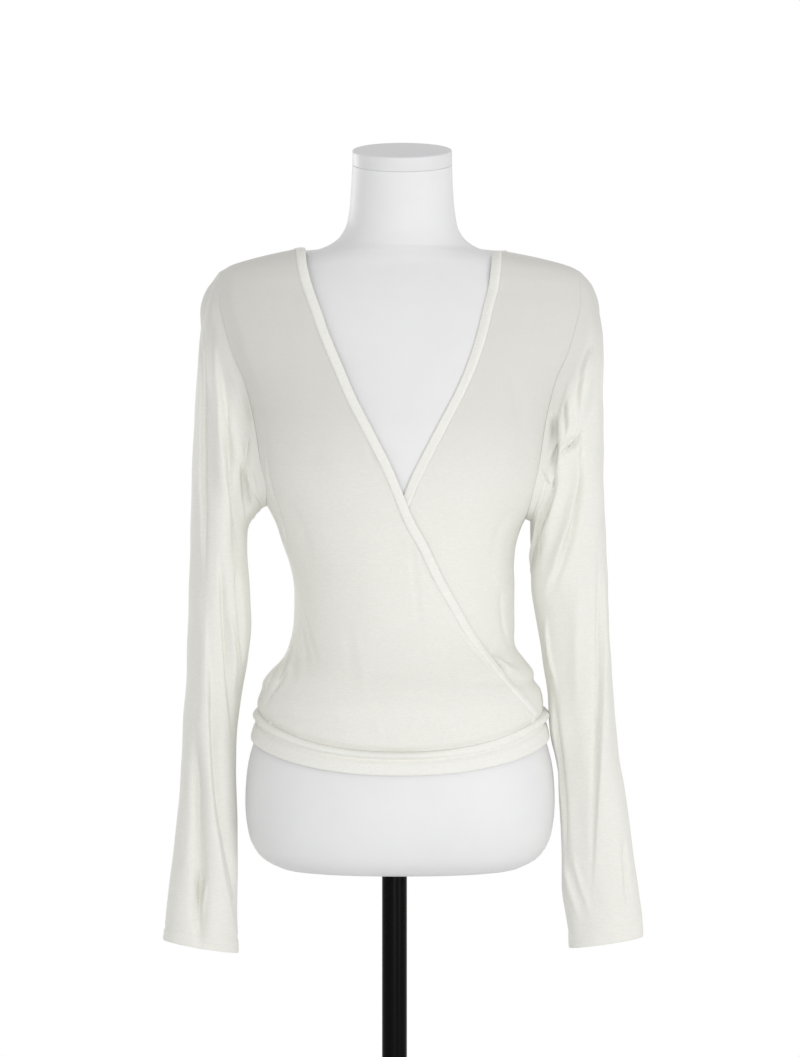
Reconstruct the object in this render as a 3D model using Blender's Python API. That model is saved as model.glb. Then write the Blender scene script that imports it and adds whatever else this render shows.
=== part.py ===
"""A long-sleeved wrap top of fine jersey on a dress form, with its pole and base plate.

Metres, +Z up, the front towards -Y, the pole's axis on Z and the floor at Z = 0.
Tables are in millimetres. A reach is a distance from the form's own middle, to the left or the right.
"""

import math

import bmesh
import bpy
import numpy as np

MM = 0.001

# Driving sizes, in millimetres
FORM_X = 5.5
CLEARANCE = 1.0
SLEEVE_CLEARANCE = 5.0
SEAM_GAP = 0.3
CLOTH = 1.1
LAYER_GAP = 1.1
BAND_WIDTH = 10.0
BAND_CLOTH = 1.7
BAND_EDGE_CLOTH = 1.3
BLOUSE_TOP = 975.0
BLOUSE_FULL = 925.0
BLOUSE_MORE = 2.0
SHOULDER_LIFT = 1.5
SHOULDER_LIFT_Z = (1300.0, 1330.0, 1346.0, 1362.0)
SLEEVE_CAP_DEPTH = 38.0
SLEEVE_CAP_RINGS = 8
FOLD_SOFTNESS = 1.4
FORM_BOTTOM = 727.5
NECK_CUT = 1431.0
CAP_HEIGHT = 14.5
CAP_EDGE = 1.6
POLE_RADIUS = 12.5
BASE_RADIUS = 160.0
BASE_HEIGHT = 9.0
BASE_EDGE = 2.0

# How finely each piece is divided
PANEL_COLUMNS = 22
BACK_COLUMNS = 26
NAPE_COLUMNS = 18
ARMHOLE_ROWS = 11
SIDE_ROWS = 11
FORM_SIDES = 36
ROUND_SIDES = 48
POLE_SIDES = 32

# Steps in radians and in millimetres over which the surface's own direction is read
TURN_STEP = 0.06
UP_STEP = 4.0

# Levels of a cloth's inner face above the body's surface: under front, back and seams, upper front
UNDER_LEVEL = 0.0
COMMON_LEVEL = 1.0
UPPER_LEVEL = BAND_CLOTH + LAYER_GAP

ALL_EDGES = ("top", "bottom", "first", "last")

# The form in level cuts: height, half width, depth in front and behind, squareness,
# the cut's middle forward, its middle sideways, and its tilt forward in degrees
FORM_COLUMNS = ("z", "width", "front", "back", "power", "lean", "shift", "tilt")
FORM = (
    (727.5, 98, 61, 69, 2.2, 0, 0, 0),
    (729, 111, 71, 79, 2.2, 0, 0, 0),
    (732.5, 122, 79, 89, 2.2, 0, 0, 0),
    (740, 136, 89, 100, 2.2, 0, 0, 0),
    (755, 147.5, 97.5, 109.5, 2.2, 0, 0, 0),
    (776, 153, 103, 114, 2.2, 0, 0, 0),
    (798, 154.5, 105, 115, 2.2, 0, 0, 0),
    (833, 152, 105, 112, 2.2, 0, 0, 0),
    (854, 147, 103, 108, 2.2, 0, 0, 0),
    (884, 136.5, 99, 100, 2.2, 0, 0, 0),
    (911, 126, 94, 92, 2.15, 0, 0, 0),
    (945, 110, 88, 83, 2.1, 0, 0, 0),
    (975, 103.5, 85, 79, 2.1, 0, 0, 0),
    (1005, 102.5, 86, 78, 2.1, 0, 0, 0),
    (1040, 108, 93, 81, 2.15, 0, 0, 0),
    (1072, 118, 102, 86, 2.2, 0, 0, 0),
    (1093, 129.5, 108, 90, 2.2, 0, 0, 0),
    (1110, 137.5, 110, 92, 2.2, 0, 0, 0),
    (1133, 143, 113, 95, 2.2, 0, 0, 0),
    (1169, 149.5, 112, 98, 2.15, 0, 0, 0),
    (1189, 154.5, 109, 98, 2.1, 0, 0, 0),
    (1218, 170, 104, 97, 2.0, 0, 0, 0),
    (1253, 190, 96, 94, 1.9, 0, 0, 0),
    (1286, 195, 86, 89, 1.8, 0, 0, 0),
    (1301, 192, 80, 85, 1.75, 0, 0, 0),
    (1314, 185, 74, 80, 1.7, 0, 0, 0),
    (1322, 177, 70, 76, 1.65, 0, 0, 0),
    (1329, 163, 66.5, 72, 1.65, 0, 0, 0),
    (1337, 133, 63.5, 67.5, 1.65, 0, 0, 0),
    (1343, 104, 61, 63.5, 1.7, 0, 0, 0),
    (1348, 83, 59.3, 60.5, 1.8, 0, 0, 1),
    (1355, 68, 56, 57, 1.9, 2, 1, 3),
    (1366, 58, 52, 53, 2.0, 5, 1.5, 5),
    (1384, 53, 49, 49, 2.0, 10, 2, 9),
    (1404, 51, 48, 48, 2.0, 16, 2, 12),
    (1431, 49.5, 47.5, 47.5, 2.0, 25, 2.2, 15),
)

# How far the cloth stands off the form at -X, +X, front and back, where it blouses or hangs loose
EASE_COLUMNS = ("z", "left", "right", "front", "back")
EASE = (
    (820, 1, 1, 1, 1),
    (850, 1, 1, 1.5, 1),
    (868, 1.5, 2, 5, 3),
    (886, 4, 5.5, 9, 6),
    (897, 8.5, 9.5, 11, 8),
    (909, 9.5, 11.5, 10, 8),
    (917, 11.5, 9, 8, 6),
    (927, 9, 13, 5, 5),
    (938, 3.5, 10, 3.5, 5),
    (952, 1.5, 5.5, 2.5, 5),
    (975, 1, 9, 1.5, 5),
    (1009, 1, 9.5, 1, 5),
    (1036, 1.5, 5, 1, 4),
    (1060, 3.5, 2, 1, 3),
    (1093, 1.5, 1.5, 1.5, 2),
    (1189, 1.5, 1.5, 1.5, 1.5),
    (1240, 2.5, 2.5, 3, 4),
    (1301, 3, 3, 4, 6),
    (1322, 3.5, 3.5, 6, 6),
    (1337, 4, 4, 6, 5),
    (1343, 3.5, 3.5, 5.5, 4),
    (1352, 2, 2, 3, 2),
    (1431, 1, 1, 1, 1),
)

# The seam of the upper front's neckband, from the right shoulder to the left end of the hem seam
UPPER_SEAM_COLUMNS = ("reach", "z")
UPPER_SEAM = (
    (-103, 1343),
    (-99, 1319),
    (-93, 1298),
    (-86, 1279),
    (-78, 1256),
    (-65, 1225),
    (-50, 1190),
    (-33, 1157),
    (-15, 1121),
    (3, 1077),
    (18, 1049),
    (32, 1019),
    (48, 990),
    (65, 961),
    (89, 929),
    (101, 914),
    (115, 899),
    (127, 885),
)

# The same seam of the under front, whose lower end the upper front hides
UNDER_SEAM_COLUMNS = ("reach", "z")
UNDER_SEAM = (
    (101, 1343),
    (99.5, 1325),
    (97, 1306),
    (91, 1283),
    (85.5, 1260),
    (79.5, 1240),
    (72, 1220),
    (62.5, 1199),
    (51, 1177),
    (37, 1150),
    (20, 1116),
    (8, 1088),
    (-7, 1062),
    (-34, 1013),
    (-66, 957),
    (-90, 927),
    (-113, 901),
    (-123, 890),
)

# The seam of the back neckband, from the ridge of the shoulder to the nape
BACK_SEAM_COLUMNS = ("reach", "z")
BACK_SEAM = (
    (106.5, 1343),
    (92, 1344.5),
    (70, 1347),
    (35, 1350.5),
    (0, 1351.5),
)

# The armhole seam: height, and its reach on the front and on the back
ARMHOLE_COLUMNS = ("z", "front", "back")
ARMHOLE = (
    (1323, 177, 177),
    (1298, 178, 179),
    (1268, 172, 175),
    (1240, 163, 168),
    (1218, 153, 159),
    (1189, 145, 147),
    (1169, 141, 142.5),
    (1133, 135.5, 136),
    (1110, 130.5, 130.5),
)
ARMPIT_RIGHT = 1093
ARMPIT_LEFT = 1080

# The hem band: how high its seam and its lower edge lie at the sides, and how far they dip in front
HEM_SEAM_Z = 890
HEM_SEAM_DIP = 37
HEM_EDGE_Z = 861
HEM_EDGE_DIP = 31
HEM_DIP_BEND = 0.55

# The hem band's own section, all round: distance out from the body's surface, and share of its height
HEM_BAND_COLUMNS = ("out", "share")
HEM_BAND = (
    (0.0, 0.0),
    (0.0, 1.0),
    (2.6, 0.99),
    (5.0, 0.88),
    (4.8, 0.77),
    (2.2, 0.70),
    (2.8, 0.4),
    (2.2, 0.0),
)

# Each sleeve in rings from the armhole to the cuff: the ends of the ring's long axis on the outer line
# and on the underarm line, half its depth, and how far back its middle lies
SLEEVE_COLUMNS = ("outer_x", "outer_z", "inner_x", "inner_z", "depth", "middle")
SLEEVE_RIGHT = (
    (-184, 1313, -133, 1090, 43, 2),
    (-190.5, 1292, -135.5, 1087, 44, 2),
    (-194.5, 1264, -138.5, 1084, 44, 1),
    (-197, 1232, -140.5, 1080.5, 42, 1),
    (-199.5, 1196, -143.5, 1077, 40, 0),
    (-201.3, 1158, -146, 1072, 38, 0),
    (-202.7, 1120, -147.2, 1064, 36, -1),
    (-203.6, 1084, -147.2, 1052, 35, -2),
    (-204.3, 1048, -146.7, 1035, 34, -3),
    (-205.5, 1013, -144.5, 1008, 34, -4),
    (-206.5, 978, -143, 976, 33, -5),
    (-207.2, 943, -146, 943, 31, -6),
    (-208.5, 908, -152, 908, 29, -7),
    (-210.8, 872, -156.7, 872, 28, -8),
    (-212.5, 836, -157.8, 836, 28, -9),
    (-215, 801, -156.7, 801, 28, -10),
    (-219.5, 754, -156.3, 754, 27, -11),
    (-224.5, 713, -156.1, 711, 25, -12),
    (-228.5, 675, -155.8, 665, 24, -12),
    (-230.5, 660, -155.5, 647, 23, -12),
)
SLEEVE_LEFT = (
    (197.5, 1312.5, 136, 1076, 43, 2),
    (204, 1292, 136, 1071, 45, 2),
    (208, 1264, 136, 1066, 46, 1),
    (209, 1232, 136, 1060, 45, 1),
    (209, 1196, 136, 1054, 44, 0),
    (209, 1158, 136, 1048, 42, 0),
    (209, 1120, 136, 1041, 40, -1),
    (210.2, 1084, 136.3, 1033, 38, -2),
    (211.7, 1048, 136.8, 1021, 36, -3),
    (212.8, 1013, 138, 1002, 34, -4),
    (214.1, 978, 141.5, 976, 32, -5),
    (215.8, 943, 147.5, 943, 30, -6),
    (218.1, 908, 152.5, 908, 28, -7),
    (221, 872, 154.5, 872, 27, -8),
    (225.1, 836, 160.5, 836, 27, -9),
    (231, 801, 164.2, 801, 27, -10),
    (237.2, 754, 166.5, 754, 26, -11),
    (242.5, 713, 166.9, 713, 24, -12),
    (247.5, 677, 173.1, 667, 23, -12),
    (247.5, 663, 174.1, 652, 22, -12),
)

# The largest folds of a sleeve: turn from the outer line over the front, at the upper and at the lower end,
# the share of the sleeve's length at which each end lies, half the fold's width in degrees, and its height
FOLD_COLUMNS = ("turn_top", "turn_end", "top", "end", "half_width", "height")
FOLDS_RIGHT = (
    (100, 104, 0.06, 0.52, 26, 4.0),
    (136, 130, 0.06, 0.46, 24, -4.0),
    (48, 52, 0.10, 0.55, 24, -3.0),
    (66, 118, 0.50, 0.98, 30, 3.0),
    (96, 88, 0.62, 1.00, 26, -2.5),
    (225, 240, 0.08, 0.50, 30, 3.5),
    (262, 280, 0.15, 0.62, 28, -3.0),
    (300, 250, 0.45, 0.95, 32, 3.0),
)
FOLDS_LEFT = (
    (98, 150, 0.05, 0.52, 26, 4.5),
    (140, 168, 0.08, 0.42, 24, -4.5),
    (60, 78, 0.10, 0.50, 26, -2.5),
    (52, 60, 0.45, 0.95, 30, 3.0),
    (112, 128, 0.50, 0.98, 28, -3.0),
    (232, 215, 0.08, 0.55, 30, 3.5),
    (276, 262, 0.12, 0.60, 28, -3.0),
    (285, 305, 0.48, 0.96, 32, 3.0),
)

# Colours, as linear RGB, and roughness
IVORY = (0.80, 0.80, 0.75, 1)
IVORY_BAND = (0.84, 0.84, 0.79, 1)
FORM_WHITE = (0.78, 0.78, 0.79, 1)
BLACK = (0.006, 0.006, 0.006, 1)


def column(table, names, name):
    return np.array([row[names.index(name)] for row in table], float)


def smooth_curve(at, places, values):
    """A cubic through a table's values that never overshoots them, read at any place."""
    order = np.argsort(places)
    x = np.asarray(places, float)[order]
    y = np.asarray(values, float)[order]
    step = np.diff(x)
    slope = np.diff(y) / step
    tangent = np.concatenate([slope[:1], (slope[:-1] + slope[1:]) / 2, slope[-1:]])
    turns = slope[:-1] * slope[1:] <= 0
    tangent[1:-1][turns] = 0
    limit = 3 * np.minimum(np.abs(np.r_[slope[:1], slope]), np.abs(np.r_[slope, slope[-1:]]))
    tangent = np.clip(tangent, -limit, limit)
    at = np.clip(np.asarray(at, float), x[0], x[-1])
    i = np.clip(np.searchsorted(x, at, side="right") - 1, 0, len(step) - 1)
    t = (at - x[i]) / step[i]
    rise = y[i] * (1 + 2 * t) * (1 - t) ** 2 + y[i + 1] * t**2 * (3 - 2 * t)
    return rise + step[i] * (tangent[i] * t * (1 - t) ** 2 + tangent[i + 1] * t**2 * (t - 1))


def smooth_step(value, start, end):
    share = np.clip((value - start) / (end - start), 0, 1)
    return share * share * (3 - 2 * share)


def form_size(name, z):
    return smooth_curve(z, column(FORM, FORM_COLUMNS, "z"), column(FORM, FORM_COLUMNS, name))


def ease_size(name, z):
    return smooth_curve(z, column(EASE, EASE_COLUMNS, "z"), column(EASE, EASE_COLUMNS, name))


def section_point(turn, z, ease=True):
    """A point of the level cut at z, turned in radians from the front towards +X.

    With ease it lies on the surface that carries the cloth, otherwise on the form.
    """
    turn, z = np.broadcast_arrays(np.asarray(turn, float), np.asarray(z, float))
    across, along = np.sin(turn), np.cos(turn)
    width = form_size("width", z)
    front = form_size("front", z)
    back = form_size("back", z)
    power = 2 / form_size("power", z)
    right = left = width
    if ease:
        right = width + ease_size("right", z)
        left = width + ease_size("left", z)
        front = front + ease_size("front", z)
        back = back + ease_size("back", z)
    x = np.where(across > 0, right, left) * np.sign(across) * np.abs(across) ** power
    y = -np.where(along > 0, front, back) * np.sign(along) * np.abs(along) ** power
    tilt = np.radians(form_size("tilt", z))
    lean = form_size("lean", z)
    shift = form_size("shift", z)
    return np.stack([FORM_X + shift + x, y * np.cos(tilt) - lean, z + y * np.sin(tilt)], -1)


# Distance up the form's outline, which spaces points evenly where the shoulder lies nearly flat
OUTLINE_Z = np.linspace(FORM_BOTTOM, NECK_CUT, 1500)
OUTLINE_STEP = np.hypot(np.diff(form_size("width", OUTLINE_Z)), np.diff(OUTLINE_Z))
OUTLINE_UP = np.concatenate([[0], np.cumsum(OUTLINE_STEP)])


def height_at(up):
    return np.interp(up, OUTLINE_UP, OUTLINE_Z)


def up_at(z):
    return np.interp(z, OUTLINE_Z, OUTLINE_UP)


def body_point(turn, up, level=0.0):
    """A point that lies a level above the surface that carries the cloth."""
    up = np.asarray(up, float)
    z = height_at(up)
    rise_from, rise_to, fall_from, fall_to = SHOULDER_LIFT_Z
    lifted = smooth_step(z, rise_from, rise_to) * (1 - smooth_step(z, fall_from, fall_to))
    level = level + SHOULDER_LIFT * lifted
    point = section_point(turn, z)
    around = section_point(turn + TURN_STEP, z) - section_point(turn - TURN_STEP, z)
    upward = section_point(turn, height_at(up + UP_STEP)) - section_point(turn, height_at(up - UP_STEP))
    normal = np.cross(around, upward)
    normal /= np.linalg.norm(normal, axis=-1, keepdims=True)
    return point + normal * level[..., None]


def turn_at(reach, z, behind=False):
    """The turn at which a level cut of the cloth's surface has the given reach."""
    reach, z = np.broadcast_arrays(np.asarray(reach, float), np.asarray(z, float))
    side = np.where(reach > 0, ease_size("right", z), ease_size("left", z))
    share = np.clip(np.abs(reach) / (form_size("width", z) + side), 0, 1)
    turn = np.arcsin(share ** (form_size("power", z) / 2))
    if behind:
        return np.pi - turn * np.sign(reach)
    return turn * np.sign(reach)


def hem_share(turn):
    """How much of the front's dip the hem has at a turn."""
    front = np.cos(turn)
    return (1 - HEM_DIP_BEND) * front + HEM_DIP_BEND * front**2


def hem_seam_z(turn):
    return HEM_SEAM_Z - HEM_SEAM_DIP * hem_share(turn)


def hem_edge_z(turn):
    return HEM_EDGE_Z - HEM_EDGE_DIP * hem_share(turn)


def hem_point(turn):
    """The hem seam's reach and height at a turn."""
    z = hem_seam_z(turn)
    return np.stack([section_point(turn, z)[..., 0] - FORM_X, z], -1)


def bunched(share, amount):
    """Shares from 0 to 1 that lie closer together towards both ends."""
    return share - amount * np.sin(2 * np.pi * share) / (2 * np.pi)


def spread(points, count, amount=0.0):
    """Count points along a chain of reaches and heights, evenly spaced or bunched at its ends."""
    length = np.linalg.norm(np.diff(points, axis=0), axis=1)
    at = np.concatenate([[0], np.cumsum(length)])
    wanted = at[-1] * bunched(np.linspace(0, 1, count), amount)
    return np.stack([np.interp(wanted, at, points[:, k]) for k in range(2)], -1)


def front_seam(table, names):
    """A front's neckband seam, from the shoulder to the hem seam, as reaches and heights."""
    rows = np.arange(len(table))
    at = np.linspace(0, rows[-1], 300)
    reach = smooth_curve(at, rows, column(table, names, "reach"))
    z = smooth_curve(at, rows, column(table, names, "z"))
    reach[0] = np.sign(reach[0]) * (form_size("width", z[0]) + ease_size("left", z[0]))
    turn = turn_at(reach, z)
    kept = z > hem_seam_z(turn) + 0.5
    chain = np.stack([reach[kept], z[kept]], -1)
    chain = np.vstack([chain, hem_point(turn[kept][-1])])
    return spread(chain, ARMHOLE_ROWS + SIDE_ROWS + 1, 0.5)


def ridge(first_z, last_z, side, count):
    """The shoulder seam, along the ridge of the shoulder."""
    up = np.linspace(up_at(first_z), up_at(last_z), count)
    z = height_at(up)
    return np.stack([side * (form_size("width", z) + ease_size("left", z)), z], -1)


def side_line(side, behind):
    """A panel's outer edge: the armhole, then the side seam down to the hem seam."""
    armpit = ARMPIT_LEFT if side > 0 else ARMPIT_RIGHT
    top = ARMHOLE[0][0]
    share = (1 - np.cos(np.linspace(0, np.pi, ARMHOLE_ROWS + 1))) / 2
    z = top + (armpit - top) * share
    name = "back" if behind else "front"
    table_z = np.append(column(ARMHOLE, ARMHOLE_COLUMNS, "z"), armpit)
    table_reach = np.append(column(ARMHOLE, ARMHOLE_COLUMNS, name), side_reach(armpit, side))
    reach = smooth_curve(z, table_z, table_reach)
    reach[0] = side_reach(top, side)
    armhole = np.stack([side * reach, z], -1)
    down = 1 - (1 - np.linspace(0, 1, SIDE_ROWS + 1)[1:]) ** 1.3
    z = armpit + (hem_seam_z(np.pi / 2) - armpit) * down
    seam = np.stack([side * side_reach(z, side), z], -1)
    return np.vstack([armhole, seam])


def side_reach(z, side):
    return form_size("width", z) + ease_size("right" if side > 0 else "left", z)


def along(line, share):
    """A line's points at shares of its rows."""
    at = np.linspace(0, 1, len(line))
    return np.stack([np.interp(share, at, line[:, k]) for k in range(2)], -1)


def blended(first, last, top, bottom):
    """A grid of reaches and heights between four edges, blended from all of them."""
    s = np.linspace(0, 1, len(top))[:, None]
    t = np.linspace(0, 1, len(first))[:, None, None]
    across = (1 - s) * first[:, None] + s * last[:, None]
    down = (1 - t) * top + t * bottom
    corners = (1 - s) * ((1 - t) * top[0] + t * bottom[0]) + s * ((1 - t) * top[-1] + t * bottom[-1])
    return across + down - corners


def patch(first, last, top, columns, behind=False):
    """A panel's grid of turns and heights between its side edges, its top edge and the hem seam.

    Beside the armhole it is spaced in reaches. Down the side seam, where the body turns away, in turns.
    """
    first_turn = turn_at(first[:, 0], first[:, 1], behind)[:, None]
    last_turn = turn_at(last[:, 0], last[:, 1], behind)[:, None]
    even_turn = first_turn + (last_turn - first_turn) * np.linspace(0, 1, columns + 1)
    hem = hem_point(np.linspace(first_turn[-1, 0], last_turn[-1, 0], 200))
    order = np.argsort(hem[:, 0])
    even_reach = np.linspace(first[-1, 0], last[-1, 0], columns + 1)
    even_hem = np.stack([even_reach, np.interp(even_reach, hem[order, 0], hem[order, 1])], -1)
    above = along(top, np.linspace(0, 1, columns + 1))
    upper = blended(first, last, above, even_hem)
    lower = blended(first, last, np.linspace(first[0], last[0], columns + 1), hem_point(even_turn[-1]))
    row = np.arange(len(first))[:, None]
    mix = smooth_step(row, ARMHOLE_ROWS * 0.5, ARMHOLE_ROWS * 0.9)
    turn = turn_at(upper[..., 0], upper[..., 1], behind)
    z = upper[..., 1] + (lower[..., 1] - upper[..., 1]) * mix
    return np.stack([turn + (even_turn - turn) * mix, z], -1)


def front_grid(table, names, side):
    """A front's grid of turns and heights, from its neckband seam to its outer edge."""
    seam = front_seam(table, names)
    outer = side_line(side, behind=False)
    shoulder = ridge(seam[0, 1], outer[0, 1], side, 100)
    return patch(seam, outer, shoulder, PANEL_COLUMNS)


def back_neck_seam(count):
    """The back neckband's seam, from the wearer's left shoulder round the nape to the right one."""
    reach = column(BACK_SEAM, BACK_SEAM_COLUMNS, "reach")
    z = column(BACK_SEAM, BACK_SEAM_COLUMNS, "z")
    across = np.linspace(reach[0], 0, 80)
    half = np.stack([across, smooth_curve(across, reach, z)], -1)
    half[0, 0] = side_reach(half[0, 1], 1)
    return spread(np.vstack([half, half[-2::-1] * np.array([-1, 1])]), count)


def back_grid():
    """The back's grid, its columns running from the wearer's left side to the right one."""
    left = side_line(1, behind=True)
    right = side_line(-1, behind=True)
    neck = back_neck_seam(61)
    top = np.vstack([
        ridge(left[0, 1], neck[0, 1], 1, 30)[:-1],
        neck,
        ridge(neck[-1, 1], right[0, 1], -1, 30)[1:],
    ])
    return patch(left, right, spread(top, 200), BACK_COLUMNS, behind=True)


def cloth_point(grid, level):
    """Points of the body's surface at turns and heights, raised to a level."""
    return body_point(grid[..., 0], up_at(grid[..., 1]), level)


def line_point(line, level, behind):
    """Points of the body's surface at reaches and heights, raised to a level."""
    return body_point(turn_at(line[:, 0], line[:, 1], behind), up_at(line[:, 1]), level)


def trimmed(points, edges, gap=SEAM_GAP / 2):
    """Moves the named edges of a grid of points inward by a gap."""
    result = points.copy()
    lines = {
        "top": (np.s_[0], np.s_[1]),
        "bottom": (np.s_[-1], np.s_[-2]),
        "first": (np.s_[:, 0], np.s_[:, 1]),
        "last": (np.s_[:, -1], np.s_[:, -2]),
    }
    for edge in edges:
        line, inner = lines[edge]
        step = points[inner] - points[line]
        length = np.linalg.norm(step, axis=-1, keepdims=True)
        result[line] += step * np.minimum(gap / np.maximum(length, 0.01), 0.4)
    return result


def shell(name, outer, inner, material, closed=False):
    """A wall between two grids of points, with faces round its open edges."""
    rows, columns = outer.shape[:2]
    points = np.vstack([outer.reshape(-1, 3), inner.reshape(-1, 3)])
    size = rows * columns
    faces = []

    def at(layer, row, col):
        return layer * size + row * columns + col % columns

    spans = columns if closed else columns - 1
    for row in range(rows - 1):
        for col in range(spans):
            near = [(row, col), (row + 1, col), (row + 1, col + 1), (row, col + 1)]
            corners = [points[at(0, *place)] for place in near]
            outward = corners[0] - points[at(1, *near[0])]
            if (corners[1] + corners[3] - corners[0] - corners[2]) @ outward > 0:
                near = near[1:] + near[:1]
            for half in ([near[0], near[1], near[2]], [near[0], near[2], near[3]]):
                faces.append([at(0, *place) for place in half])
                faces.append([at(1, *place) for place in half[::-1]])
    for col in range(spans):
        faces.append([at(0, 0, col), at(0, 0, col + 1), at(1, 0, col + 1), at(1, 0, col)])
        last = rows - 1
        faces.append([at(0, last, col), at(1, last, col), at(1, last, col + 1), at(0, last, col + 1)])
    if not closed:
        for row in range(rows - 1):
            last = columns - 1
            faces.append([at(0, row, 0), at(1, row, 0), at(1, row + 1, 0), at(0, row + 1, 0)])
            faces.append([at(0, row, last), at(0, row + 1, last), at(1, row + 1, last), at(1, row, last)])
    return solid(name, points, faces, material)


def solid(name, points, faces, material):
    """A closed mesh object, its faces turned outward."""
    mesh = bpy.data.meshes.new(name)
    mesh.from_pydata([tuple(point) for point in np.asarray(points) * MM], [], faces)
    whole = bmesh.new()
    whole.from_mesh(mesh)
    if whole.calc_volume(signed=True) < 0:
        bmesh.ops.reverse_faces(whole, faces=whole.faces)
    whole.to_mesh(mesh)
    whole.free()
    mesh.materials.append(material)
    mesh.shade_smooth()
    mesh.set_sharp_from_angle(angle=math.radians(50))
    obj = bpy.data.objects.new(name, mesh)
    bpy.context.scene.collection.objects.link(obj)
    return obj


def turned(name, profile, material, sides):
    """A solid turned round its own Z axis from a profile of radii and heights, its flat ends closed."""
    angle = np.linspace(0, 2 * np.pi, sides, endpoint=False)
    rings = [np.stack([r * np.cos(angle), r * np.sin(angle), np.full(sides, z)], -1) for r, z in profile]
    return stacked(name, np.array(rings), material)


def stacked(name, rings, material):
    """A solid through a stack of rings, its first and last ring closed flat."""
    count, sides = rings.shape[:2]
    faces = []
    for row in range(count - 1):
        for k in range(sides):
            after = (k + 1) % sides
            low, high = row * sides, (row + 1) * sides
            faces.append([low + k, low + after, high + after, high + k])
    first_middle = count * sides
    points = np.vstack([rings.reshape(-1, 3), rings[0].mean(0), rings[-1].mean(0)])
    for k in range(sides):
        after = (k + 1) % sides
        faces.append([first_middle, after, k])
        faces.append([first_middle + 1, (count - 1) * sides + k, (count - 1) * sides + after])
    return solid(name, points, faces, material)


def front_levels(grid, side, level, share=0.0):
    """The inner face's level on a front: its own in the middle, and the common one at its outer side.

    The upper front also blouses a little further out than the under front that it covers.
    """
    near_ridge = smooth_step(side * grid[..., 0] / (np.pi / 2), 0.8, 1.0)
    near_side = smooth_step(share, 0.78, 0.97)
    blouse = smooth_step(grid[..., 1], BLOUSE_TOP, BLOUSE_FULL) * (BLOUSE_MORE if level > 0 else 0)
    return level + blouse + (COMMON_LEVEL - level - blouse) * np.maximum(near_ridge, near_side)


def make_front(name, table, names, side, level, material):
    grid = front_grid(table, names, side)
    inner = front_levels(grid, side, level, np.linspace(0, 1, PANEL_COLUMNS + 1))
    outer = trimmed(cloth_point(grid, inner + CLOTH), ALL_EDGES)
    shell(name, outer, trimmed(cloth_point(grid, inner), ALL_EDGES), material)


def make_back(material):
    grid = back_grid()
    level = np.full(grid.shape[:2], COMMON_LEVEL)
    outer = trimmed(cloth_point(grid, level + CLOTH), ALL_EDGES)
    shell("back", outer, trimmed(cloth_point(grid, level), ALL_EDGES), material)


def turned_line(line, behind=False):
    """A line of reaches and heights as turns and heights."""
    return np.stack([turn_at(line[:, 0], line[:, 1], behind), line[:, 1]], -1)


def make_band(name, seam, hand, panel_side, level, material):
    """A neckband: a doubled strip beside a seam, a little thicker along its middle.

    Hand 1 puts it to the right of the seam's run, seen from outside, and -1 to the left.
    """
    turn, up = seam[:, 0], up_at(seam[:, 1])
    levels = front_levels(seam, panel_side, level) if panel_side else np.full(len(seam), level)
    here = body_point(turn, up, levels)
    run = np.gradient(here, axis=0)
    above = body_point(turn, up, levels + 1) - here
    aside = np.cross(run, above) * hand
    aside /= np.linalg.norm(aside, axis=-1, keepdims=True)
    for end in [0] if panel_side else [0, -1]:
        along_ridge = body_point(turn[end], up[end] + 5.0) - body_point(turn[end], up[end])
        aside[end] = along_ridge / np.linalg.norm(along_ridge)
    if panel_side:
        hem = body_point(turn[-1] + [0, 0.01], up_at(hem_seam_z(turn[-1] + [0, 0.01])))
        along_hem = (hem[1] - hem[0]) * np.sign(aside[-1, 0])
        along_hem /= np.linalg.norm(along_hem)
        aside[-1] = along_hem / (along_hem @ aside[-1])
    places = np.array([SEAM_GAP / 2, BAND_WIDTH / 2, BAND_WIDTH])
    thick = np.array([BAND_EDGE_CLOTH, BAND_CLOTH, BAND_EDGE_CLOTH])
    inner = here[:, None] + aside[:, None] * places[:, None]
    inner = clear_of_form(inner, CLEARANCE)
    outer = inner + above[:, None] * thick[:, None]
    edges = ("top", "bottom")
    shell(name, trimmed(outer, edges), trimmed(inner, edges), material)


def make_hem_band(material):
    """The doubled band round the hips, with a rolled ridge under its seam."""
    turn = np.linspace(0, 2 * np.pi, ROUND_SIDES, endpoint=False)
    out = column(HEM_BAND, HEM_BAND_COLUMNS, "out")
    share = column(HEM_BAND, HEM_BAND_COLUMNS, "share")
    top = hem_seam_z(turn) - SEAM_GAP / 2
    edge = hem_edge_z(turn)
    z = edge[:, None] + (top - edge)[:, None] * share
    level = COMMON_LEVEL + out[None] + np.zeros_like(z)
    rings = body_point(np.repeat(turn[:, None], len(share), 1), up_at(z), level)
    count = len(share)
    faces = []
    for k in range(ROUND_SIDES):
        after = (k + 1) % ROUND_SIDES
        for i in range(count):
            j = (i + 1) % count
            faces.append([k * count + i, after * count + i, after * count + j, k * count + j])
    solid("hem_band", rings.reshape(-1, 3), faces, material)


def armhole_loop(side):
    """Points of the armhole seam: down the front, then up the back, outside the panels' faces."""
    front = line_point(side_line(side, False)[: ARMHOLE_ROWS + 1], COMMON_LEVEL + CLOTH, False)
    back = line_point(side_line(side, True)[: ARMHOLE_ROWS + 1], COMMON_LEVEL + CLOTH, True)
    return np.vstack([front, back[-2:0:-1]])


def fold_height(table, turn, share):
    """How far the folds lift a sleeve's surface at each turn and share of its length."""
    height = np.zeros(np.broadcast(turn, share).shape)
    for turn_top, turn_end, top, end, half_width, rise in table:
        run = np.clip((share - top) / (end - top), 0, 1)
        middle = turn_top + (turn_end - turn_top) * run
        fade = np.sin(np.pi * run) ** 0.5
        off = (turn - middle + 180) % 360 - 180
        height = height + rise * fade * np.exp(-FOLD_SOFTNESS * (off / half_width) ** 2)
    return height


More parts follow.
